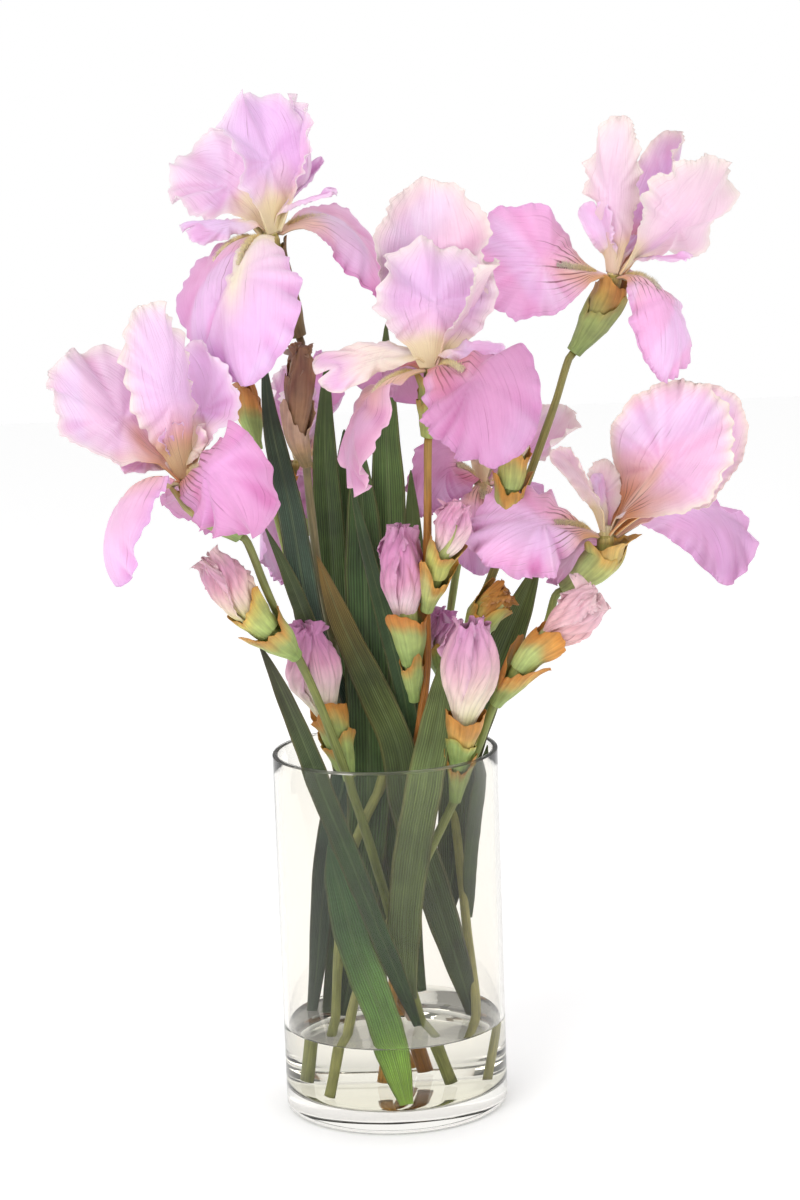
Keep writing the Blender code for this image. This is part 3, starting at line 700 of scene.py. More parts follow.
# Colourings: the run from claw to tip, the margin and its width in mm, the back's tint and how
# strong it is, the midrib streak, and how strong the dark veins of the throat are.
COLOURINGS = {
    "creamy": dict(
        run=[(0, "E3B98C"), (0.1, "F5E4CD"), (0.25, "F5D8E7"), (0.5, "EEC3E8"), (1, "E8BCEA")],
        margin="E4B1DF", margin_mm=4, back="E4BCE1", back_mix=0.6,
        streak="F8ECD2", streak_to=0.75, streak_mm=8, veins=0.0,
    ),
    "orchid": dict(
        run=[(0, "D9A070"), (0.12, "EEC6BA"), (0.28, "ECB4D8"), (0.6, "EBAFDC"), (1, "E8B2E0")],
        margin="E0ABD7", margin_mm=4, back="DCB8DC", back_mix=0.6,
        streak="F3D5DA", streak_to=0.4, streak_mm=4, veins=0.35,
    ),
    "rosy_back": dict(
        run=[(0, "D9A070"), (0.14, "F0CDB8"), (0.3, "F6CDDC"), (0.6, "F6C4E6"), (1, "EFAEDB")],
        margin="DE93C8", margin_mm=3, back="E3A0CC", back_mix=0.85,
        streak="F3D2BE", streak_to=0.4, streak_mm=9, veins=0.3,
    ),
    "mauve": dict(
        run=[(0, "D9A070"), (0.1, "D5807E"), (0.26, "D790A8"), (0.45, "D699C2"), (1, "D99FCB")],
        margin="CF93BF", margin_mm=3, back="CF9DBB", back_mix=0.85,
        streak="E5B6C6", streak_to=0.5, streak_mm=4, veins=0.7,
    ),
    "mauve_veined": dict(
        run=[(0, "C9924E"), (0.12, "CF9078"), (0.26, "E0A2C0"), (0.5, "EDAFE0"), (1, "DC9CC8")],
        margin="D795C0", margin_mm=3, back="D89FC4", back_mix=0.85,
        streak="D9A0A8", streak_to=0.35, streak_mm=6, veins=1.0,
    ),
    "orchid_veined": dict(
        run=[(0, "D8A05E"), (0.14, "DDAA86"), (0.28, "EBB8CB"), (0.5, "F0B4DE"), (1, "F2BCE4")],
        margin="E4ABD7", margin_mm=3.5, back="E0B8D7", back_mix=0.8,
        streak="EFCFD5", streak_to=0.4, streak_mm=4, veins=1.0,
    ),
    "peach_veined": dict(
        run=[(0, "D99C58"), (0.15, "DD9C70"), (0.33, "E9B8B1"), (0.5, "F1C0DF"), (1, "F1C5F0")],
        margin="E1ADDF", margin_mm=3.5, back="DAB6DA", back_mix=0.7,
        streak="EEC6B6", streak_to=0.45, streak_mm=6, veins=1.0,
    ),
    "peach_mauve": dict(
        run=[(0, "DDA868"), (0.18, "EDC2A2"), (0.34, "E0A6A4"), (0.5, "D096B4"), (1, "D89FC6")],
        margin="F0C0D8", margin_mm=3, back="D79FC0", back_mix=0.85,
        streak="F0CDB4", streak_to=0.45, streak_mm=6, veins=0.4,
    ),
    "pale": dict(
        run=[(0, "E8E0A8"), (0.08, "F4E8C6"), (0.2, "F6DAD6"), (0.4, "F3CDEC"), (1, "F3D4EE")],
        margin="F7E8EC", margin_mm=5, back="F1CFEB", back_mix=0.5,
        streak="F4E8C8", streak_to=0.4, streak_mm=8, veins=0.1,
    ),
    "pale_amber": dict(
        run=[(0, "CF8A4C"), (0.12, "DD9C78"), (0.26, "EFC4C0"), (0.42, "F2CFEA"), (1, "F6DAF0")],
        margin="F8ECE8", margin_mm=5, back="F2D2EC", back_mix=0.5,
        streak="E9B294", streak_to=0.4, streak_mm=9, veins=0.4,
    ),
    "lilac": dict(
        run=[(0, "DCD698"), (0.1, "F5E6C8"), (0.25, "F3D6DC"), (0.45, "EDC0EE"), (1, "EFCDF4")],
        margin="F4DFEE", margin_mm=4, back="ECC6EE", back_mix=0.6,
        streak="F4E6C0", streak_to=0.45, streak_mm=9, veins=0.1,
    ),
    "lilac_cream": dict(
        run=[(0, "D08F55"), (0.14, "DFA284"), (0.28, "E8B4C6"), (0.46, "EDC2EC"), (1, "F3D8F1")],
        margin="F7EBE0", margin_mm=5, back="EFCDEE", back_mix=0.6,
        streak="E6AE8C", streak_to=0.45, streak_mm=7, veins=0.4,
    ),
    "lilac_frill": dict(
        run=[(0, "F0E2BC"), (0.12, "F4E2D2"), (0.28, "EFC6DC"), (0.5, "EABAEC"), (1, "F0D4F2")],
        margin="F4E6E4", margin_mm=7, back="EBC0E6", back_mix=0.6,
        streak="F3DFC8", streak_to=0.3, streak_mm=6, veins=0.1,
    ),
    "cream_pink": dict(
        run=[(0, "E0BE80"), (0.09, "EFD2A8"), (0.22, "F2CBCE"), (0.45, "F1C9E2"), (1, "F4D9E4")],
        margin="F5E8E0", margin_mm=7, back="F1D2E0", back_mix=0.6,
        streak="EFBCE2", streak_to=0.75, streak_mm=6, veins=0.25,
    ),
    "cream_crimped": dict(
        run=[(0, "C97F3C"), (0.14, "D8945F"), (0.3, "E6B8B8"), (0.46, "F5C6E7"), (1, "F9D3ED")],
        margin="F9E9DA", margin_mm=4.5, back="F5CDE6", back_mix=0.6,
        streak="ECC8B4", streak_to=0.6, streak_mm=3.5, veins=0.75,
    ),
    "arm": dict(
        run=[(0, "DDBE8C"), (0.25, "F2DADF"), (0.5, "EFC7EB"), (1, "EBB6E4")],
        margin="F4D7F0", margin_mm=1.5, back="EBC5E5", back_mix=0.6,
        streak="F6E9DA", streak_to=0.4, streak_mm=2.5, veins=0.1,
    ),
    "cream_arm": dict(
        run=[(0, "D8BC74"), (0.3, "F7EAD7"), (0.62, "F9E4DF"), (0.85, "F3C6E7"), (1, "F5D5E6")],
        margin="F9E8DF", margin_mm=1.5, back="F2D5DC", back_mix=0.7,
        streak="F9EFE1", streak_to=0.7, streak_mm=3, veins=0.1,
    ),
}


def half_width(kind, u):
    """A petal's half width at u along its midrib, as a share of its widest."""
    if kind == "style_arms":
        root = 0.35 + 0.65 * np.clip(u / 0.14, 0, 1)
        end = np.clip((u - 0.8) / 0.2, 0, 1)
        return root * (0.45 + 0.2 * u + 0.35 * u**2) * np.sqrt(1 - 0.97 * end**2)
    claw_length, claw, widen, roundness = {
        "falls": (0.09, 0.30, 0.25, 0.48),
        "standards": (0.04, 0.42, 0.20, 0.46),
    }[kind]
    root = 0.5 + 0.5 * np.clip(u / 0.12, 0, 1)
    t = np.clip((u - claw_length) / (1 - claw_length), 0, 1)
    blade = np.maximum(np.sin(np.pi * t**1.12), 0) ** roundness
    return root * np.maximum((claw + widen * u) * (1 - t**8), blade)


def petal_surface(kind, petal, u, v):
    """Points of a petal in its flower's axes at u from base to tip and v from side to side, with
    the directions along it, across it and out of its upper face."""
    azimuth, rise, tip_rise, length, width, roll, cup, bend = petal
    base_radius, base_height = {"falls": (5, 0), "standards": (3, 8), "style_arms": (2, 10)}[kind]
    fine = np.linspace(0, 1, 401)
    slope = np.radians(rise + (tip_rise - rise) * fine**bend)
    run = np.concatenate([[0], np.cumsum(np.cos(slope[1:]) + np.cos(slope[:-1]))])
    climb = np.concatenate([[0], np.cumsum(np.sin(slope[1:]) + np.sin(slope[:-1]))])
    run = np.interp(u, fine, run * length / 800 + base_radius)[..., None]
    climb = np.interp(u, fine, climb * length / 800) + base_height * (0.2 + 0.8 * np.clip(u / 0.12, 0, 1))
    climb = climb[..., None]
    slope = np.interp(u, fine, slope)[..., None]
    a = math.radians(azimuth)
    out, side, up = np.array([[math.cos(a), math.sin(a), 0], [-math.sin(a), math.cos(a), 0], [0, 0, 1]])
    face = up * np.cos(slope) - out * np.sin(slope)
    turn = math.radians(roll) * np.clip(u * 2.4, 0, 1)[..., None]
    across = side * np.cos(turn) + face * np.sin(turn)
    face = face * np.cos(turn) - side * np.sin(turn)
    curl = math.radians(cup) * (0.35 + 0.65 * np.sin(np.pi * np.clip(u, 0, 1)) ** 0.5)
    half = width / 2 * half_width(kind, u)
    bent = (curl * v)[..., None]
    sideways = (half / curl)[..., None] * np.sin(bent)
    inward = (half / curl)[..., None] * (1 - np.cos(bent))
    points = out * run + up * climb + sideways * across + inward * face
    along = out * np.cos(slope) + up * np.sin(slope)
    tangent = across * np.cos(bent) + face * np.sin(bent)
    return points, along, tangent, face * np.cos(bent) - across * np.sin(bent)


def smooth_step(low, high, x):
    t = np.clip((x - low) / (high - low), 0, 1)
    return t * t * (3 - 2 * t)


def waves_round(rng, angle, count, spread=3):
    """A wave with about count crests round a petal, uneven as grown tissue is."""
    total = np.zeros_like(angle)
    for _ in range(5):
        total += np.sin(angle * (count + rng.uniform(-spread, spread)) + rng.uniform(0, 6.3))
    return total / 2.4


def petal_shape(kind, row, number):
    """One petal: its law, then its waves, its midrib groove, its crimped margin and its dye, with painted
    shade in its hollows and pale patches that are partly painted highlight.
    """
    petal, (colouring, wave, count) = row[:8], row[8:]
    look = COLOURINGS[colouring]
    length, width = petal[3], petal[4]
    rng = np.random.default_rng(number)
    rows, columns = {"falls": (104, 49), "standards": (104, 49), "style_arms": (56, 27)}[kind]
    u = np.sin(np.linspace(0.0, math.pi / 2, rows)) ** 1.15 * 0.999
    v = np.sin(np.linspace(-1, 1, columns) * math.pi / 2 * 0.94) / math.sin(math.pi / 2 * 0.94)
    u, v = np.meshgrid(u, v, indexing="ij")
    half = width / 2 * half_width(kind, u)
    x, y = v * half, u * length
    angle = np.arctan2(x / (width / 2), (y - 0.45 * length) / (0.55 * length))

    # How far each point is from the margin, in mm.
    edge_u = np.sin(np.linspace(0.02, math.pi / 2, 160))
    edge_x = width / 2 * half_width(kind, edge_u)
    edge = np.concatenate([np.stack([s * edge_x, edge_u * length], 1) for s in (-1, 1)])
    flat = np.stack([x.ravel(), y.ravel()], 1)
    inset = np.sqrt(((flat[:, None] - edge[None]) ** 2).sum(2).min(1)).reshape(u.shape)
    grown = smooth_step(0.10, 0.34, u)
    ruffle = np.exp(-inset / (0.22 * width)) * grown
    rim = np.exp(-inset / (0.10 * width)) * grown
    thin_rim = np.exp(-inset / (0.035 * width)) * grown

    # The margin is softly scalloped and nibbled, and a style arm's is notched at its tip.
    grid, along, across, normal = petal_surface(kind, petal, u, v)
    scallop = waves_round(rng, angle, 0.8 * count) * 0.9 + waves_round(rng, angle, 2.6 * count, 6) * 0.3
    scallop = (scallop * rim * width / 60)[..., None]
    grid = grid + scallop * (np.cos(angle)[..., None] * along + np.sin(angle)[..., None] * across)
    if kind == "style_arms":
        notch = 0.13 * length * np.exp(-((v / 0.3) ** 2)) * smooth_step(0.7, 1.0, u)
        grid = grid - notch[..., None] * along + (notch * 0.4)[..., None] * normal
    lift = 1.8 * wave * ruffle * waves_round(rng, angle, 0.6 * count, 1.5) * min(width / 55, 1.1)
    lift += 1.2 * wave * rim * waves_round(rng, angle, 1.5 * count, 3)
    lift += 0.75 * wave**0.5 * thin_rim * waves_round(rng, angle, 4.2 * count, 7)
    lift += 1.6 * grown * waves_round(rng, v * 2.1 + u * 1.5, 1.6, 1.0) * (1 - rim)
    pleat = np.sin(angle * 15 + 2.2 * np.sin(angle * 3 + number)) * np.sin(angle * 2.3 + number)
    lift += 0.55 * grown * np.minimum(np.abs(v) * 1.6, 1) * pleat
    lift -= 0.55 * np.exp(-((x / 1.3) ** 2)) * smooth_step(0.02, 0.2, u) * (1 - smooth_step(0.6, 0.95, u))
    grid = grid + normal * lift[..., None]
    thickness = 0.12 + 0.45 * (1 - thin_rim) + 0.9 * (1 - smooth_step(0, 0.16, u))

    # The dye: a run from claw to tip, a streak along the midrib, pale patches that are partly painted
    # highlight, painted shade in the hollows of the ruffles and pleats, and a margin of its own colour.
    ease = u + 0.05 * waves_round(rng, v * 3, 2, 1) * grown
    front = blend_colours(look["run"], ease)
    fade = 1 - smooth_step(0.55 * look["streak_to"], look["streak_to"], u)
    streak = (np.exp(-((x / look["streak_mm"]) ** 2)) * fade)[..., None]
    front = front * (1 - streak) + linear(look["streak"]) * streak
    margin = (np.exp(-((inset / look["margin_mm"]) ** 1.4)) * grown)[..., None] * 0.9
    # Pale lilac patches at random: partly the petal's own mottling, partly painted highlight.
    mottle_and_painted_highlight = 0.45 * smooth_step(0.1, 0.9, waves_round(rng, u * 4 + v * 1.5, 1.4, 0.8)) * grown
    front = front + (linear("EBDAFB") - front) * mottle_and_painted_highlight[..., None]
    # Painted shade: where the ruffles and pleats dip, the face is darkened towards deeper pink, as shade
    # would fall in their hollows.
    low = np.clip(-(lift + 0.8 * pleat) / 4, 0, 1) * grown
    front = front * (1 - low[..., None] * (1 - linear("E3A2CC")) * 0.5)
    mix = look["back_mix"] * (grown * 0.9)[..., None]
    back = front * (1 - mix) + linear(look["back"]) * mix
    claw = 0.75 * (1 - smooth_step(0.08, 0.26, u))[..., None]
    back = back * (1 - claw) + linear("A89A5C" if kind == "falls" else "EBDDB0") * claw
    front = front * (1 - margin) + linear(look["margin"]) * margin
    back = back * (1 - margin) + linear(look["margin"]) * margin
    reach = {"falls": 0.52, "standards": 0.36, "style_arms": 0.3}[kind]
    veins = look["veins"] * smooth_step(0.03, 0.1, u)
    veins = veins * (1 - smooth_step(0.45 * reach, reach, u + 0.06 * v**2))
    veins = veins * (1 - 0.75 * smooth_step(0.35, 0.9, np.abs(v)))
    front = np.concatenate([front, veins[..., None]], -1)
    back = np.concatenate([back, 0.6 * veins[..., None]], -1)
    lie = np.stack([v * 0.5 + number, u], -1)
    return grid, normal, thickness, lie, front, back


# Petal tissue: a velvety skin of tiny domed cells that lets light through. Fine veins fan out
# from the claw, and in the throat they turn brown. On a petal 60 mm wide the fine ones are drawn
# about 3 mm apart and the brown ones about 4 mm, coarser than the real 1 mm, so that they show.
petal_tissue, tree, shader = new_material("iris_petal_velvety_tissue")
attribute = add_node(tree, "Attribute", attribute_name="dye")
dye, throat = attribute.outputs["Color"], attribute.outputs["Alpha"]
lie = add_node(tree, "UVMap", uv_map="lie").outputs[0]
place = add_node(tree, "TexCoord").outputs["Object"]
spread = stretch(tree, lie, (7, 0.5, 1))
ribs = bands(tree, spread, 1.6, 3, 1.3)
fine = stretch(tree, lie, (58, 3.2, 1))
threads = add_node(tree, "TexNoise", {"Vector": fine, "Scale": 1, "Detail": 3, "Distortion": 0.4})
threads = threads.outputs[0]
cloud = noise(tree, place, 45, 3)
grain = noise(tree, place, 1400, 2)
line = remap(tree, ribs, (0.62, 0.98), (0.0, 1.0))
thread = remap(tree, threads, (0.36, 0.68), (0.0, 1.0))
both = add_node(tree, "Math", {0: line, 1: thread}, operation="MULTIPLY_ADD")
feed(tree, both, {2: thread})
faint = combine(tree, "Math", "MULTIPLY", both.outputs[0], 0.16)
deep = combine(tree, "VectorMath", "MULTIPLY", dye, (0.84, 0.66, 0.80))
veined = add_node(tree, "Mix", {0: faint, 6: dye, 7: deep}, data_type="RGBA").outputs[2]
patch = remap(tree, cloud, (0.32, 0.7), (0.92, 1.06))
veined = combine(tree, "VectorMath", "MULTIPLY", veined, patch)
fork = stretch(tree, lie, (4.4, 0.8, 1))
forks = bands(tree, fork, 2.2, 2, 1.2)
uneven = remap(tree, threads, (0.3, 0.7), (-0.55, 0.4))
reach = combine(tree, "Math", "ADD", throat, uneven)
reach = remap(tree, reach, (0.15, 0.7), (0.0, 1.0))
dark = remap(tree, forks, (0.7, 0.97), (0.0, 0.75))
dark = combine(tree, "Math", "MULTIPLY", dark, reach)
brown = shade("6B2F2C")
skin = add_node(tree, "Mix", {0: dark, 6: veined, 7: brown}, data_type="RGBA").outputs[2]
height = combine(tree, "Math", "ADD", both.outputs[0], grain)
bump = relief(tree, height, 0.3, 0.0005)
rough = remap(tree, cloud, (0.3, 0.7), (0.5, 0.62))
feed(tree, shader, {"Base Color": skin, "Roughness": rough, "Normal": bump})
feed(tree, shader, {"Subsurface Weight": 0.2, "Subsurface Radius": (1.0, 0.8, 0.9)})
feed(tree, shader, {"Subsurface Scale": 0.001, "Sheen Weight": 0.2, "Sheen Roughness": 0.4})
feed(tree, shader, {"Specular IOR Level": 0.3})


number = 0  # each petal's number sets its own waves
for name, kinds in FLOWERS.items():
    heart, axes = flower_axes(STEMS[name])
    for kind, rows in kinds.items():
        for place_in_whorl, row in enumerate(rows, 1):
            number += 1
            grid, normal, thickness, lie, front, back = petal_shape(kind, row, number)
            grid, normal = grid @ axes.T + heart, normal @ axes.T
            piece = f"{name}_{kind[:-1]}_{place_in_whorl}"
            petal = shell(piece, grid, thickness, lie, front, back, petal_tissue, normal)
            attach(petal, "root")
            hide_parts(f"{name}_falls" if kind == "falls" else f"{name}_crown")


# ---- The beards and the tubes ------------------------------------------------------------------
# Down the middle of each fall runs a beard: a strip of soft hairs 2 to 4 mm long, cream at its
# outer end and yellow in the throat. The petals meet on a short fleshy tube.
BEARDS = {"iris_1": "FFF4D2", "iris_3": "EDE6DA", "iris_5": "DCCDBC"}
BEARD_FROM, BEARD_TO = 0.07, 0.36  # shares of the fall's length
BEARD_SPREAD = 3.2
HAIRS = 640
HAIR_SIDES = ((1, 0), (-0.5, 0.87), (-0.5, -0.87))

# Beard hair: fine, dull and half clear, like the pile of velvet.
beard_hair, tree, shader = new_material("iris_beard_soft_hair")
dye = add_node(tree, "Attribute", attribute_name="dye").outputs["Color"]
place = add_node(tree, "TexCoord").outputs["Object"]
mixed = noise(tree, place, 900, 1)
value = remap(tree, mixed, (0.3, 0.7), (0.8, 1.15))
hair = combine(tree, "VectorMath", "MULTIPLY", dye, value)
feed(tree, shader, {"Base Color": hair, "Roughness": 0.7, "Sheen Weight": 0.3})

for name, kinds in FLOWERS.items():
    heart, axes = flower_axes(STEMS[name])
    rng = np.random.default_rng(sum(map(ord, name)))
    for place_in_whorl, row in enumerate(kinds["falls"], 1):
        u = rng.uniform(BEARD_FROM, BEARD_TO, HAIRS)
        v = rng.normal(0, 0.30, HAIRS).clip(-0.7, 0.7) * BEARD_SPREAD
        v = v / (row[4] / 2 * half_width("falls", u))
        root, along, across, normal = petal_surface("falls", row[:8], u, v)
        end = np.interp(u, [BEARD_FROM, 0.12, 0.30, BEARD_TO], [1.6, 3.2, 2.6, 0.8])
        end = end * rng.uniform(0.7, 1.15, HAIRS)
        lean = along * rng.normal(0.5, 0.25, HAIRS)[:, None] + across * rng.normal(0, 0.4, HAIRS)[:, None]
        tip = root + (normal + lean) / np.linalg.norm(normal + lean, axis=1)[:, None] * end[:, None]
        root = root - normal * 0.4
        foot = [root + along * 0.22 * c + across * 0.22 * d for c, d in HAIR_SIDES]
        points = np.stack([*foot, tip], 1).reshape(-1, 3) @ axes.T + heart
        faces = []
        for i in range(0, 4 * HAIRS, 4):
            faces += [(i, i + 1, i + 3), (i + 1, i + 2, i + 3), (i + 2, i, i + 3), (i + 2, i + 1, i)]
        outer = linear(BEARDS.get(name, "F8ECCB"))
        share = ((u - BEARD_FROM) / (BEARD_TO - BEARD_FROM))[:, None]
        dye = np.repeat(outer * share + linear("EFCF86") * (1 - share), 4, axis=0)
        lie = np.zeros((4 * HAIRS, 2))
        beard = tissue(f"{name}_beard_{place_in_whorl}", points, faces, lie, dye, beard_hair)
        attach(beard, "root")
    axis = axes[:, 2]
    path = heart + axis * np.linspace(-6, 6, 22)[:, None]
    radii = np.interp(np.linspace(0, 1, 22), [0, 0.3, 0.6, 1], [4.4, 4.8, 4.0, 2.4])
    colours = blend_colours(["9A8A4A", "B9A662", "D9CB94", "EADFC0"], np.linspace(0, 1, 22))
    tube = round_rod(f"{name}_tube", path, radii, colours, stem_skin)
    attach(tube, "root")


# ---- The spathes and bracts --------------------------------------------------------------------
# A leafy sheath wraps the foot of every flower and bud. It is fleshy and green below, and its
# pointed lips dry to orange-brown paper.
# Bract tissue: thin green leaf with veins 1.5 mm apart, crisp and wrinkled where it has dried.
bract_skin, tree, shader = new_material("iris_bract_green_to_papery")
dye = add_node(tree, "Attribute", attribute_name="dye").outputs["Color"]
lie = add_node(tree, "UVMap", uv_map="lie").outputs[0]
place = add_node(tree, "TexCoord").outputs["Object"]
along = stretch(tree, lie, (34, 2.0, 1))
veins = noise(tree, along, 1, 3)
cloud = noise(tree, place, 110, 4)
vein = remap(tree, veins, (0.32, 0.68), (0.80, 1.16))
patch = remap(tree, cloud, (0.3, 0.7), (0.80, 1.18))
value = combine(tree, "Math", "MULTIPLY", vein, patch)
skin = combine(tree, "VectorMath", "MULTIPLY", dye, value)
height = combine(tree, "Math", "ADD", veins, cloud)
bump = relief(tree, height, 0.5, 0.0008)
rough = remap(tree, cloud, (0.3, 0.7), (0.5, 0.7))
feed(tree, shader, {"Base Color": skin, "Roughness": rough, "Normal": bump})
feed(tree, shader, {"Subsurface Weight": 0.3, "Subsurface Radius": (1.0, 0.8, 0.4)})
feed(tree, shader, {"Subsurface Scale": 0.001})


def along_path(path, reach):
    """The path and its two square directions at each reach along it, from 0 to 1."""
    low = np.clip((reach * (len(path) - 1)).astype(int), 0, len(path) - 2)
    share = (reach * (len(path) - 1) - low)[..., None]
    side, up = frames_along(path)
    return [line[low] * (1 - share) + line[low + 1] * share for line in (path, side, up)]


def bract_cup(name, path, wide, facing, lips, dye_run, number, flare):
    """A sheath round a path, from its foot to its lips. wide is its radius at foot, middle and
    lips, facing where its first lip points (90 at the viewer), lips their count and height."""
    rows, columns = 44, 72
    count, height = lips
    s = np.linspace(0, 1, rows)
    turn = np.linspace(0, 2 * np.pi, columns)
    lip = (0.5 + 0.5 * np.cos(count * (turn - math.radians(facing)))) ** 1.6
    lip += 0.10 * np.sin(turn * 5 + number) + 0.05 * np.sin(turn * 13 + number)
    top = 1 - height + height * lip
    s, turn = np.meshgrid(s, turn, indexing="ij")
    reach = s * top[None]
    middle, side, up = along_path(path, reach)
    out = np.cos(turn)[..., None] * side + np.sin(turn)[..., None] * up
    foot, waist, mouth = wide
    radius = 1.08 * np.interp(reach, [0, 0.12, 0.5, 0.85, 1], [foot, foot * 1.15, waist, mouth, mouth])
    radius += flare * s**6 * np.maximum(lip, 0)[None] + 0.5 * s**2 * np.sin(turn * 7 + number)
    radius += 0.25 * np.sin(turn * 17 + 3 * s) * s**3 + 0.5 * np.sin(s * 9 + turn * 2 + number) * s
    grid = middle + out * radius[..., None]
    dry = blend_colours(dye_run, np.clip(s**1.7 + 0.07 * np.sin(turn * 3 + number) * s, 0, 1))
    lie = np.stack([turn / 6.283, reach * np.linalg.norm(path[-1] - path[0]) / 40], -1)
    made = shell(name, grid, 0.7 - 0.5 * s, lie, dry, dry * 0.8, bract_skin, out)
    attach(made, "root")
    return made


# Each flower's sheaths: share of the way from stem to petals where each starts and ends, its
# radii, its facing, its lips, its colours, and how far its lips flare.
SPATHES = {
    "iris_1": [
        (0.0, 0.62, (3.6, 5.6, 6.2), 60, (2, 0.3), ["7C6B45", "8A7A50", "7F6A42", "6E5638"], 1.0),
        (0.45, 1.0, (4.8, 6.0, 6.4), 20, (2, 0.25), ["7E7447", "7A6D40", "6F5F3A", "7C6140"], 0.8),
    ],
    "iris_2": [
        (0.0, 0.8, (3.8, 6.6, 7.0), 120, (2, 0.3), ["9BA75C", "A6AF66", "AFAF62", "B99A50"], 1.5),
        (0.5, 1.0, (5.5, 6.6, 7.2), 30, (2, 0.35), ["8E9A50", "9AA35A", "B3A25C", "A98544"], 2.0),
    ],
    "iris_3": [
        (0.0, 0.82, (3.7, 8.2, 8.6), 150, (2, 0.35), ["86995A", "93A263", "9AA866", "A9A15C"], 0.8),
        (0.4, 1.02, (5.0, 8.8, 8.2), 60, (2, 0.2), ["98A060", "B39A55", "C08F4E", "B98446"], 0.6),
    ],
    "iris_4": [
        (
            0.0, 0.98, (3.8, 8.4, 10.2), 40, (2, 0.22),
            ["A4B472", "B2C07E", "B4BF7A", "B9B870", "C79F55"], 1.5,
        ),
        (0.45, 1.1, (6.0, 8.4, 9.4), 190, (1, 0.3), ["B2B870", "C0AE68", "CBA964", "C79A50"], 8.0),
    ],
    "iris_5": [
        (0.0, 0.85, (3.6, 6.4, 7.6), 100, (2, 0.3), ["8FA463", "9BAD6A", "A5A95F", "B0995A"], 1.5),
        (0.5, 1.05, (5.0, 6.8, 7.2), 10, (2, 0.3), ["A3A862", "A99F58", "8A7B48", "A08A4E"], 1.5),
    ],
    "iris_6": [
        (0.0, 0.8, (3.8, 7.6, 8.6), 120, (2, 0.3), ["98AC66", "A3B36E", "A8B470", "C59A4E"], 2.0),
        (0.45, 1.05, (5.0, 7.6, 8.4), 30, (2, 0.35), ["A3B36E", "B4AD64", "C79248", "C28A44"], 3.0),
    ],
    "iris_7": [
        (0.0, 0.85, (3.8, 7.0, 8.0), 120, (2, 0.3), ["98AC66", "A3B36E", "A8B470", "C59A4E"], 2.0),
        (0.5, 1.05, (5.0, 7.0, 7.6), 30, (2, 0.35), ["A3B36E", "B4AD64", "C79248", "C28A44"], 2.0),
    ],
}
number = 40
for name, cups in SPATHES.items():
    ovary = STEMS[name]["ovary"][::-1]
    lead = ovary[-1] + unit(ovary[-1] - ovary[-2]) * np.arange(1, 6)[:, None]
    path = smooth_path(np.vstack([ovary[::4], lead[-1]]), 60)
    for place_on_stem, (start, stop, wide, facing, lips, run, flare) in enumerate(cups, 1):
        number += 1
        part = path[int(start * 55) : min(int(stop * 58), 60) + 1]
        cup = bract_cup(f"{name}_sheath_{place_on_stem}", part, wide, facing, lips, run, number, flare)
        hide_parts(f"{name}_spathe")
    radii = np.interp(np.linspace(0, 1, 61), [0, 0.2, 0.6, 1], [3.4, 4.6, 5.2, 4.4])
    colours = blend_colours(["8A9450", "93A058", "A2A45C", "A99A55"], np.linspace(0, 1, 61))
    ovary_rod = round_rod(f"{name}_ovary", path, radii, colours, stem_skin)
    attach(ovary_rod, "root")


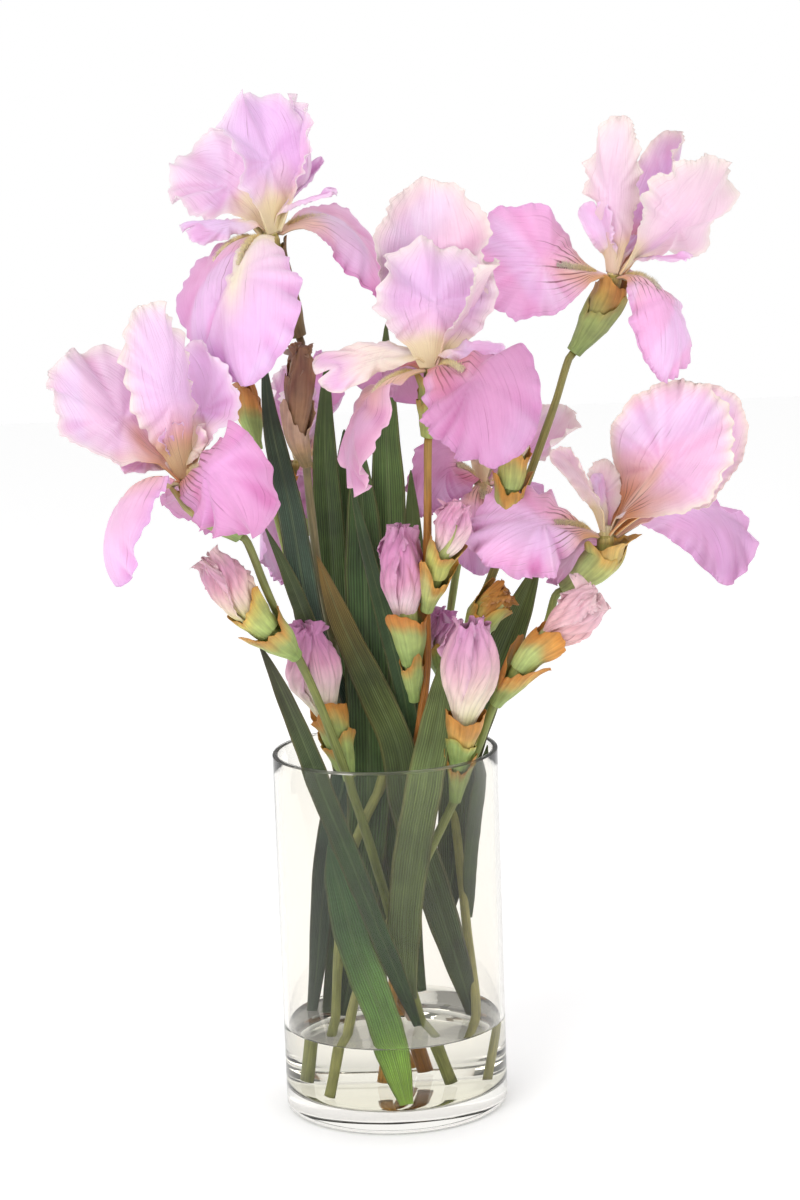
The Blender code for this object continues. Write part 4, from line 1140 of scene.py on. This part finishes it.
# ---- The buds --------------------------------------------------------------------------------
# Closed flowers: petals rolled round each other, pink above and cream to yellow-green below,
# each standing in one or two bracts. One bud has dried to brown bracts alone.
# Each: points from the stem to the tip with the radius there; its bracts (start, end, radii,
# facing, lips, flare); where its petals start; and its petals' colours.
GREEN_LIP = ["93AA62", "A2B46D", "A9B86F", "BBA45C", "C28A44"]
ORANGE_LIP = ["98AC66", "A9B56C", "C4A058", "C4893F", "B97C3A"]
BUDS = {
    "bud_1": dict(
        points=[
            (-46.4, -40.2, 267.7, 1.3), (-57, -50, 281, 7.5), (-64, -51, 288, 8), (-75, -51, 302, 11),
            (-88, -50, 319, 8), (-94, -50, 326, 3),
        ],
        bracts=[
            (0.0, 0.42, (3.4, 8.6, 9.6), 20, (2, 0.3), GREEN_LIP, 3.0),
            (0.3, 0.62, (6.0, 8.6, 9.6), 330, (2, 0.4), ["A9BB70", "B9C274", "CBBE68", "C9974A"], 2.0),
        ],
        petals=0.36, run=["A9B566", "DCD890", "F0D9C4", "EFB8C6", "EDB2CE", "EFC9CE"],
    ),
    "bud_2": dict(
        points=[
            (-20.1, -18.4, 190.8, 1.3), (-26, -10, 211, 8), (-29, -8, 224, 9), (-33, -7, 233, 10),
            (-39, -8, 254, 14), (-42, -8, 271, 8), (-43, -8, 281, 2),
        ],
        bracts=[
            (0.0, 0.34, (3.0, 6.6, 8.6), 150, (2, 0.35), GREEN_LIP, 1.5),
            (0.22, 0.52, (5.4, 8.6, 10.4), 110, (2, 0.3), ORANGE_LIP, 1.5),
        ],
        petals=0.42, run=["E9E2B4", "F2E4D2", "EBC8CE", "DDA3BE", "D795BE", "CF8ABA"],
    ),
    "bud_3": dict(
        points=[
            (17.5, -12.9, 235.2, 1.3), (16, -26, 272, 8), (14, -28, 288, 8.5), (13, -30, 306, 11),
            (12, -30, 326, 9), (13, -30, 337, 3),
        ],
        bracts=[
            (0.0, 0.32, (2.6, 5.4, 6.4), 120, (2, 0.35), GREEN_LIP, 1.0),
            (
                0.24, 0.56, (5.0, 8.6, 10.0), 70, (2, 0.25),
                ["93AA62", "A2B46D", "A9B86F", "C28A44", "B97434"], 1.5,
            ),
        ],
        petals=0.48, run=["E8CFC0", "EBCFD6", "DFA0BE", "DB98C0", "D68FBC", "DFA2C8"],
    ),
    "bud_4": dict(
        points=[
            (25.8, -26.1, 288.3, 1.3), (31, -37, 308, 5.5), (34, -40, 319, 6.5), (39, -42, 329, 8),
            (43, -42, 341, 8), (47, -40, 349, 3),
        ],
        bracts=[
            (
                0.0, 0.5, (3.0, 6.4, 8.4), 40, (2, 0.35),
                ["A2B46D", "B2BB72", "C3BC78", "C99C50", "C58F44"], 2.5,
            ),
            (0.36, 0.68, (5.0, 7.2, 8.6), 200, (2, 0.35), ["B3B868", "B9BA66", "BFA558", "B98446"], 1.5),
        ],
        petals=0.5, run=["E6DCC0", "F0DAD2", "EFC4CF", "E9A9CB", "E6A9C4"],
    ),
    "bud_5": dict(
        points=[
            (37.5, -32.0, 181.2, 1.3), (41, -34, 204, 5), (43, -37, 218, 8), (45, -40, 231, 9),
            (48, -42, 258, 14), (49, -42, 276, 10), (49, -42, 286, 3),
        ],
        bracts=[
            (0.0, 0.28, (2.6, 5.0, 6.8), 170, (2, 0.4), GREEN_LIP, 1.5),
            (0.18, 0.38, (4.2, 6.4, 8.4), 60, (2, 0.25), ["8DA860", "9BAF66", "9DB068", "B3A858"], 1.0),
            (0.3, 0.52, (5.6, 8.6, 9.6), 20, (2, 0.2), ["B3A45C", "C59650", "C88F46", "B9803C"], 1.0),
        ],
        petals=0.42, run=["CFCB95", "EDE0C6", "EFD3CB", "E6B6C6", "DFA6C6", "D79AC2"],
    ),
    "bud_6": dict(
        points=[
            (62.2, -27.0, 234.7, 1.3), (73, -35, 251, 7), (83, -37, 264, 8), (92, -38, 271, 9),
            (102, -38, 280, 11), (114, -38, 291, 9), (121, -38, 296, 4),
        ],
        bracts=[
            (0.0, 0.46, (3.2, 7.4, 8.8), 150, (2, 0.45), ORANGE_LIP, 3.5),
            (
                0.3, 0.66, (5.4, 8.0, 9.6), 100, (2, 0.3),
                ["A9BB72", "B4BF78", "C79650", "C88C42", "C0803A"], 2.0,
            ),
        ],
        petals=0.52, run=["E6C9B4", "EAB9B8", "EDBCC2", "EEBFCB", "F1CBD0"],
    ),
    "bud_7": dict(
        points=[
            (-38.2, 2.3, 368.5, 1.3), (-42, -18, 389, 5), (-40, -24, 406, 7.5), (-38, -29, 426, 7),
            (-38, -30, 437, 2),
        ],
        bracts=[
            (0.0, 0.62, (3.0, 6.0, 7.6), 40, (2, 0.35), ["8F7A50", "A98A66", "B0917A", "C4A48C"], 1.5),
            (0.35, 1.0, (4.6, 7.2, 6.8), 110, (2, 0.35), ["9A7858", "8E6C52", "865F4A", "9C7A5C"], 1.0),
        ],
        petals=0.6, run=["8A6C50", "987858", "A88A66", "98785A"],
    ),
    "bud_8": dict(
        points=[
            (73.0, -7.9, 326.7, 1.3), (73, -15, 347, 6), (75, -16, 360, 7.5), (77, -17, 374, 7.5),
            (79, -17, 384, 6), (80, -17, 392, 2),
        ],
        bracts=[
            (
                0.0, 0.56, (3.2, 7.0, 8.2), 20, (2, 0.3),
                ["93AA62", "A9B86F", "B3B468", "C9974A", "C28A3C"], 2.0,
            ),
            (0.42, 0.82, (5.6, 7.4, 8.2), 60, (2, 0.3), ["A9B86F", "B9B468", "C99A50", "C48C40"], 1.5),
        ],
        petals=0.62, run=["D9C49C", "EAD9BC", "EBD6C6", "F0DACE"],
    ),
    "bud_9": dict(
        points=[
            (-44.6, 61.3, 267.1, 1.3), (-51, 58, 297, 2), (-58, 58, 330, 2), (-65, 57, 362, 2),
            (-69, 56, 383, 3), (-71, 56, 394, 6), (-72, 55, 406, 5), (-73, 55, 414, 2),
        ],
        bracts=[(0.72, 0.97, (2.2, 6.6, 6.4), 90, (2, 0.3), ["93A860", "9DB068", "C08A48", "A96F38"], 1.5)],
        petals=0.82, run=["C4A468", "C98F50", "B97C44"],
    ),
    "bud_10": dict(
        points=[(35.1, 48.0, 233.4, 1.3), (33, 46, 255, 6), (34, 46, 269, 7), (36, 46, 277, 3)],
        bracts=[(0.0, 0.55, (2.6, 6.4, 7.0), 90, (2, 0.3), GREEN_LIP, 1.5)],
        petals=0.4, run=["D9B9C4", "D493C0", "CF84BC"],
    ),
    "bract_1": dict(
        points=[(48.3, -3.3, 266.1, 1.3), (58, -16, 283, 9), (66, -17, 292, 8), (72, -17, 296, 3)],
        bracts=[
            (0.0, 0.9, (3.0, 8.6, 8.4), 150, (2, 0.35), ["8DA45C", "9CAF66", "A6A85C", "B9873C"], 2.0),
            (0.2, 1.0, (4.0, 7.6, 6.6), 40, (2, 0.4), ["93A860", "A9A45A", "B9803A", "A86F30"], 1.5),
        ],
        petals=0.5, run=["B9A050", "BE8A40", "A86F30"],
    ),
}


def rolled_petal(name, path, radii, start, sheathed, facing, run, number):
    """One petal of a closed bud: a sheet rolled round the bud's axis from start to its tip."""
    rng = np.random.default_rng(number)
    rows, columns = 64, 48
    s, w = np.meshgrid(np.linspace(0, 1, rows), np.linspace(-1, 1, columns), indexing="ij")
    ragged = 0.12 * np.abs(w) ** 2 - 0.05 * waves_round(rng, w * 5, 2, 1)
    reach = start + (1 - start) * s * (1 - ragged * s)
    middle, side, up = along_path(path, np.clip(reach, 0, 1))
    body = np.interp(reach, np.linspace(0, 1, len(path)), radii)
    body *= np.interp(reach, [start, sheathed, sheathed + 0.12], [0.62, 0.84, 1.0])
    body = np.maximum(body, 0.46 * radii.max() * smooth_step(0.3, 0.8, s))
    turn = math.radians(facing) + math.radians(86) * w + 1.1 * s + 0.15 * np.sin(s * 6 + number)
    out = np.cos(turn)[..., None] * side + np.sin(turn)[..., None] * up
    body = np.maximum(body, 3.0 - 1.4 * s) + 1.8 * w * smooth_step(0.05, 0.4, s)
    body += 1.1 * np.sin(w * 5 + s * 5 + number) * s + 0.5 * np.sin(w * 14 + s * 8 + number) * s
    fold = np.abs(np.sin(w * 7 + 3.2 * np.sin(s * 3.4 + number) + number))
    body += (2.2 * fold - 1.3) * smooth_step(0.05, 0.5, s) * body / 11
    rim = np.exp(-(1 - np.abs(w)) / 0.14) + np.exp(-(1 - s) / 0.08)
    body += 1.9 * rim * waves_round(rng, s * 9 + w * 5, 2.2, 1) * smooth_step(0.2, 0.8, s)
    body += 0.9 * rim * waves_round(rng, s * 24 + w * 11, 2.2, 1) * smooth_step(0.1, 0.6, s)
    body += 3.2 * smooth_step(0.82, 1.0, s) * (0.35 + 0.65 * np.sin(w * 5 + number))
    grid = middle + out * body[..., None]
    colour = blend_colours(run, np.clip(s + 0.06 * np.sin(w * 4 + number), 0, 1))
    # Painted shade: the colour is darkened in fine wavy lines, as shade in the creases of the crumpled
    # petal.
    painted_crease_shade = smooth_step(0.2, 1.0, np.sin(w * 30 + 2.5 * np.sin(s * 5 + number) + s * 4))
    colour = colour * (1 - 0.17 * painted_crease_shade[..., None])
    margin = (0.55 * np.exp(-(1 - np.abs(w)) / 0.10) * smooth_step(0.15, 0.5, s))[..., None]
    pale = linear(run[-1]) * 0.85 + 0.12
    colour = colour * (1 - margin) + pale * margin
    veins = 0.12 * smooth_step(0.0, 0.3, s) * (1 - smooth_step(0.5, 0.9, s))
    front = np.concatenate([colour, veins[..., None]], -1)
    lie = np.stack([w * 0.42 + number, s * 0.8], -1)
    return shell(name, grid, 0.5 - 0.3 * s, lie, front, front, petal_tissue, out)


BUD_STEPS = 90
number = 80
for name, bud in BUDS.items():
    knots = np.array(bud["points"], float)
    smooth = smooth_path(knots, BUD_STEPS)
    path, radii = smooth[:, :3], smooth[:, 3]
    for place_on_bud, (start, stop, wide, facing, lips, run, flare) in enumerate(bud["bracts"], 1):
        number += 1
        part = path[int(start * BUD_STEPS) : int(stop * BUD_STEPS) + 1]
        cup = bract_cup(f"{name}_bract_{place_on_bud}", part, wide, facing, lips, run, number, flare)
        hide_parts(name)
    for k in range(3):
        number += 1
        piece, sheathed = f"{name}_petal_{k + 1}", bud["bracts"][-1][1]
        petal = rolled_petal(piece, path, radii, bud["petals"], sheathed, 90 + 120 * k, bud["run"], number)
        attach(petal, "root")
        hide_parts(name)
    last = int(bud["petals"] * BUD_STEPS) + 30
    core = path[: min(last, 84)]
    thin = np.minimum(radii[: len(core)] * 0.8, np.interp(np.arange(len(core)), [0, 12, 60], [2.4, 3.4, 8]))
    colours = blend_colours(["869048", "9AA65C", "C9C888"], np.linspace(0, 1, len(core)))
    stalk = round_rod(f"{name}_stalk", core, np.maximum(thin, 1.2), colours, stem_skin)
    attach(stalk, "root")
    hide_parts(name)


# ---- The table, the light and the camera -------------------------------------------------------
# White matt paper on a light table under the vase, a large soft light in front at the left, a
# weaker one at the right, and a pale studio that is darkest behind the camera.
paper, tree, shader = new_material("backdrop_matt_paper")
place = add_node(tree, "TexCoord").outputs["Object"]
pulp = noise(tree, place, 400, 3)
white = add_node(tree, "Mix", {0: pulp, 6: shade("FDFDFD"), 7: shade("FFFFFF")}, data_type="RGBA")
feed(tree, shader, {"Base Color": white.outputs[2], "Roughness": 0.9, "Specular IOR Level": 0.1})
feed(tree, shader, {"Emission Color": (1, 1, 1, 1), "Emission Strength": 0.2})
mesh = bpy.data.meshes.new("floor")
corners = [(x, y, -0.0002) for x, y in ((-4, -4), (4, -4), (4, 4), (-4, 4))]
mesh.from_pydata(corners, [], [(0, 1, 2, 3)])
mesh.materials.append(paper)
floor = bpy.data.objects.new("floor", mesh)
bpy.context.scene.collection.objects.link(floor)

world = bpy.data.worlds.new("studio")
bpy.context.scene.world = world
world.use_nodes = True
tree = world.node_tree
background = tree.nodes["Background"]
direction = add_node(tree, "TexCoord").outputs["Generated"]
apart = add_node(tree, "SeparateXYZ", {0: direction})
behind = remap(tree, apart.outputs["Y"], (-0.5, 0.25), (0.30, 1.0))
above = remap(tree, apart.outputs["Z"], (0.1, 0.6), (0.0, 0.6))
glow = combine(tree, "Math", "MAXIMUM", behind, above)
feed(tree, background, {"Color": (1, 1, 1, 1), "Strength": glow})


def soft_light(name, location, target, size, power, colour):
    light = bpy.data.lights.new(name, "AREA")
    light.shape = "DISK"
    light.size = size
    light.energy = power
    light.color = colour
    made = bpy.data.objects.new(name, light)
    made.location = location
    toward = np.array(target, float) - np.array(location, float)
    pitch = math.acos(-toward[2] / np.linalg.norm(toward))
    made.rotation_euler = (pitch, 0, math.atan2(toward[1], toward[0]) - math.pi / 2)
    made.visible_glossy = False
    bpy.context.scene.collection.objects.link(made)
    return made


soft_light("key", (-1.0, -1.7, 1.5), (0, 0, 0.35), 1.5, 23, (1, 0.99, 0.97))
soft_light("fill", (1.3, -1.6, 0.8), (0, 0, 0.35), 1.3, 10, (1, 1, 1))

camera = bpy.data.cameras.new("camera")
camera.sensor_width = 36
camera.lens = 87
camera.clip_start, camera.clip_end = 0.05, 50
viewer = bpy.data.objects.new("camera", camera)
pitch, lean = math.radians(9.4), math.radians(2.0)
viewer.location = (0.0114, -1.6, 0.555)
sight = np.array([0, math.cos(pitch), -math.sin(pitch)])
level, over = np.array([1.0, 0, 0]), np.array([0, math.sin(pitch), math.cos(pitch)])
right = math.cos(lean) * level - math.sin(lean) * over
above = math.sin(lean) * level + math.cos(lean) * over
viewer.rotation_mode = "QUATERNION"
viewer.rotation_quaternion = Matrix(np.stack([right, above, -sight], 1).tolist()).to_quaternion()
bpy.context.scene.collection.objects.link(viewer)
bpy.context.scene.camera = viewer
bpy.context.scene.view_settings.view_transform = "Standard"
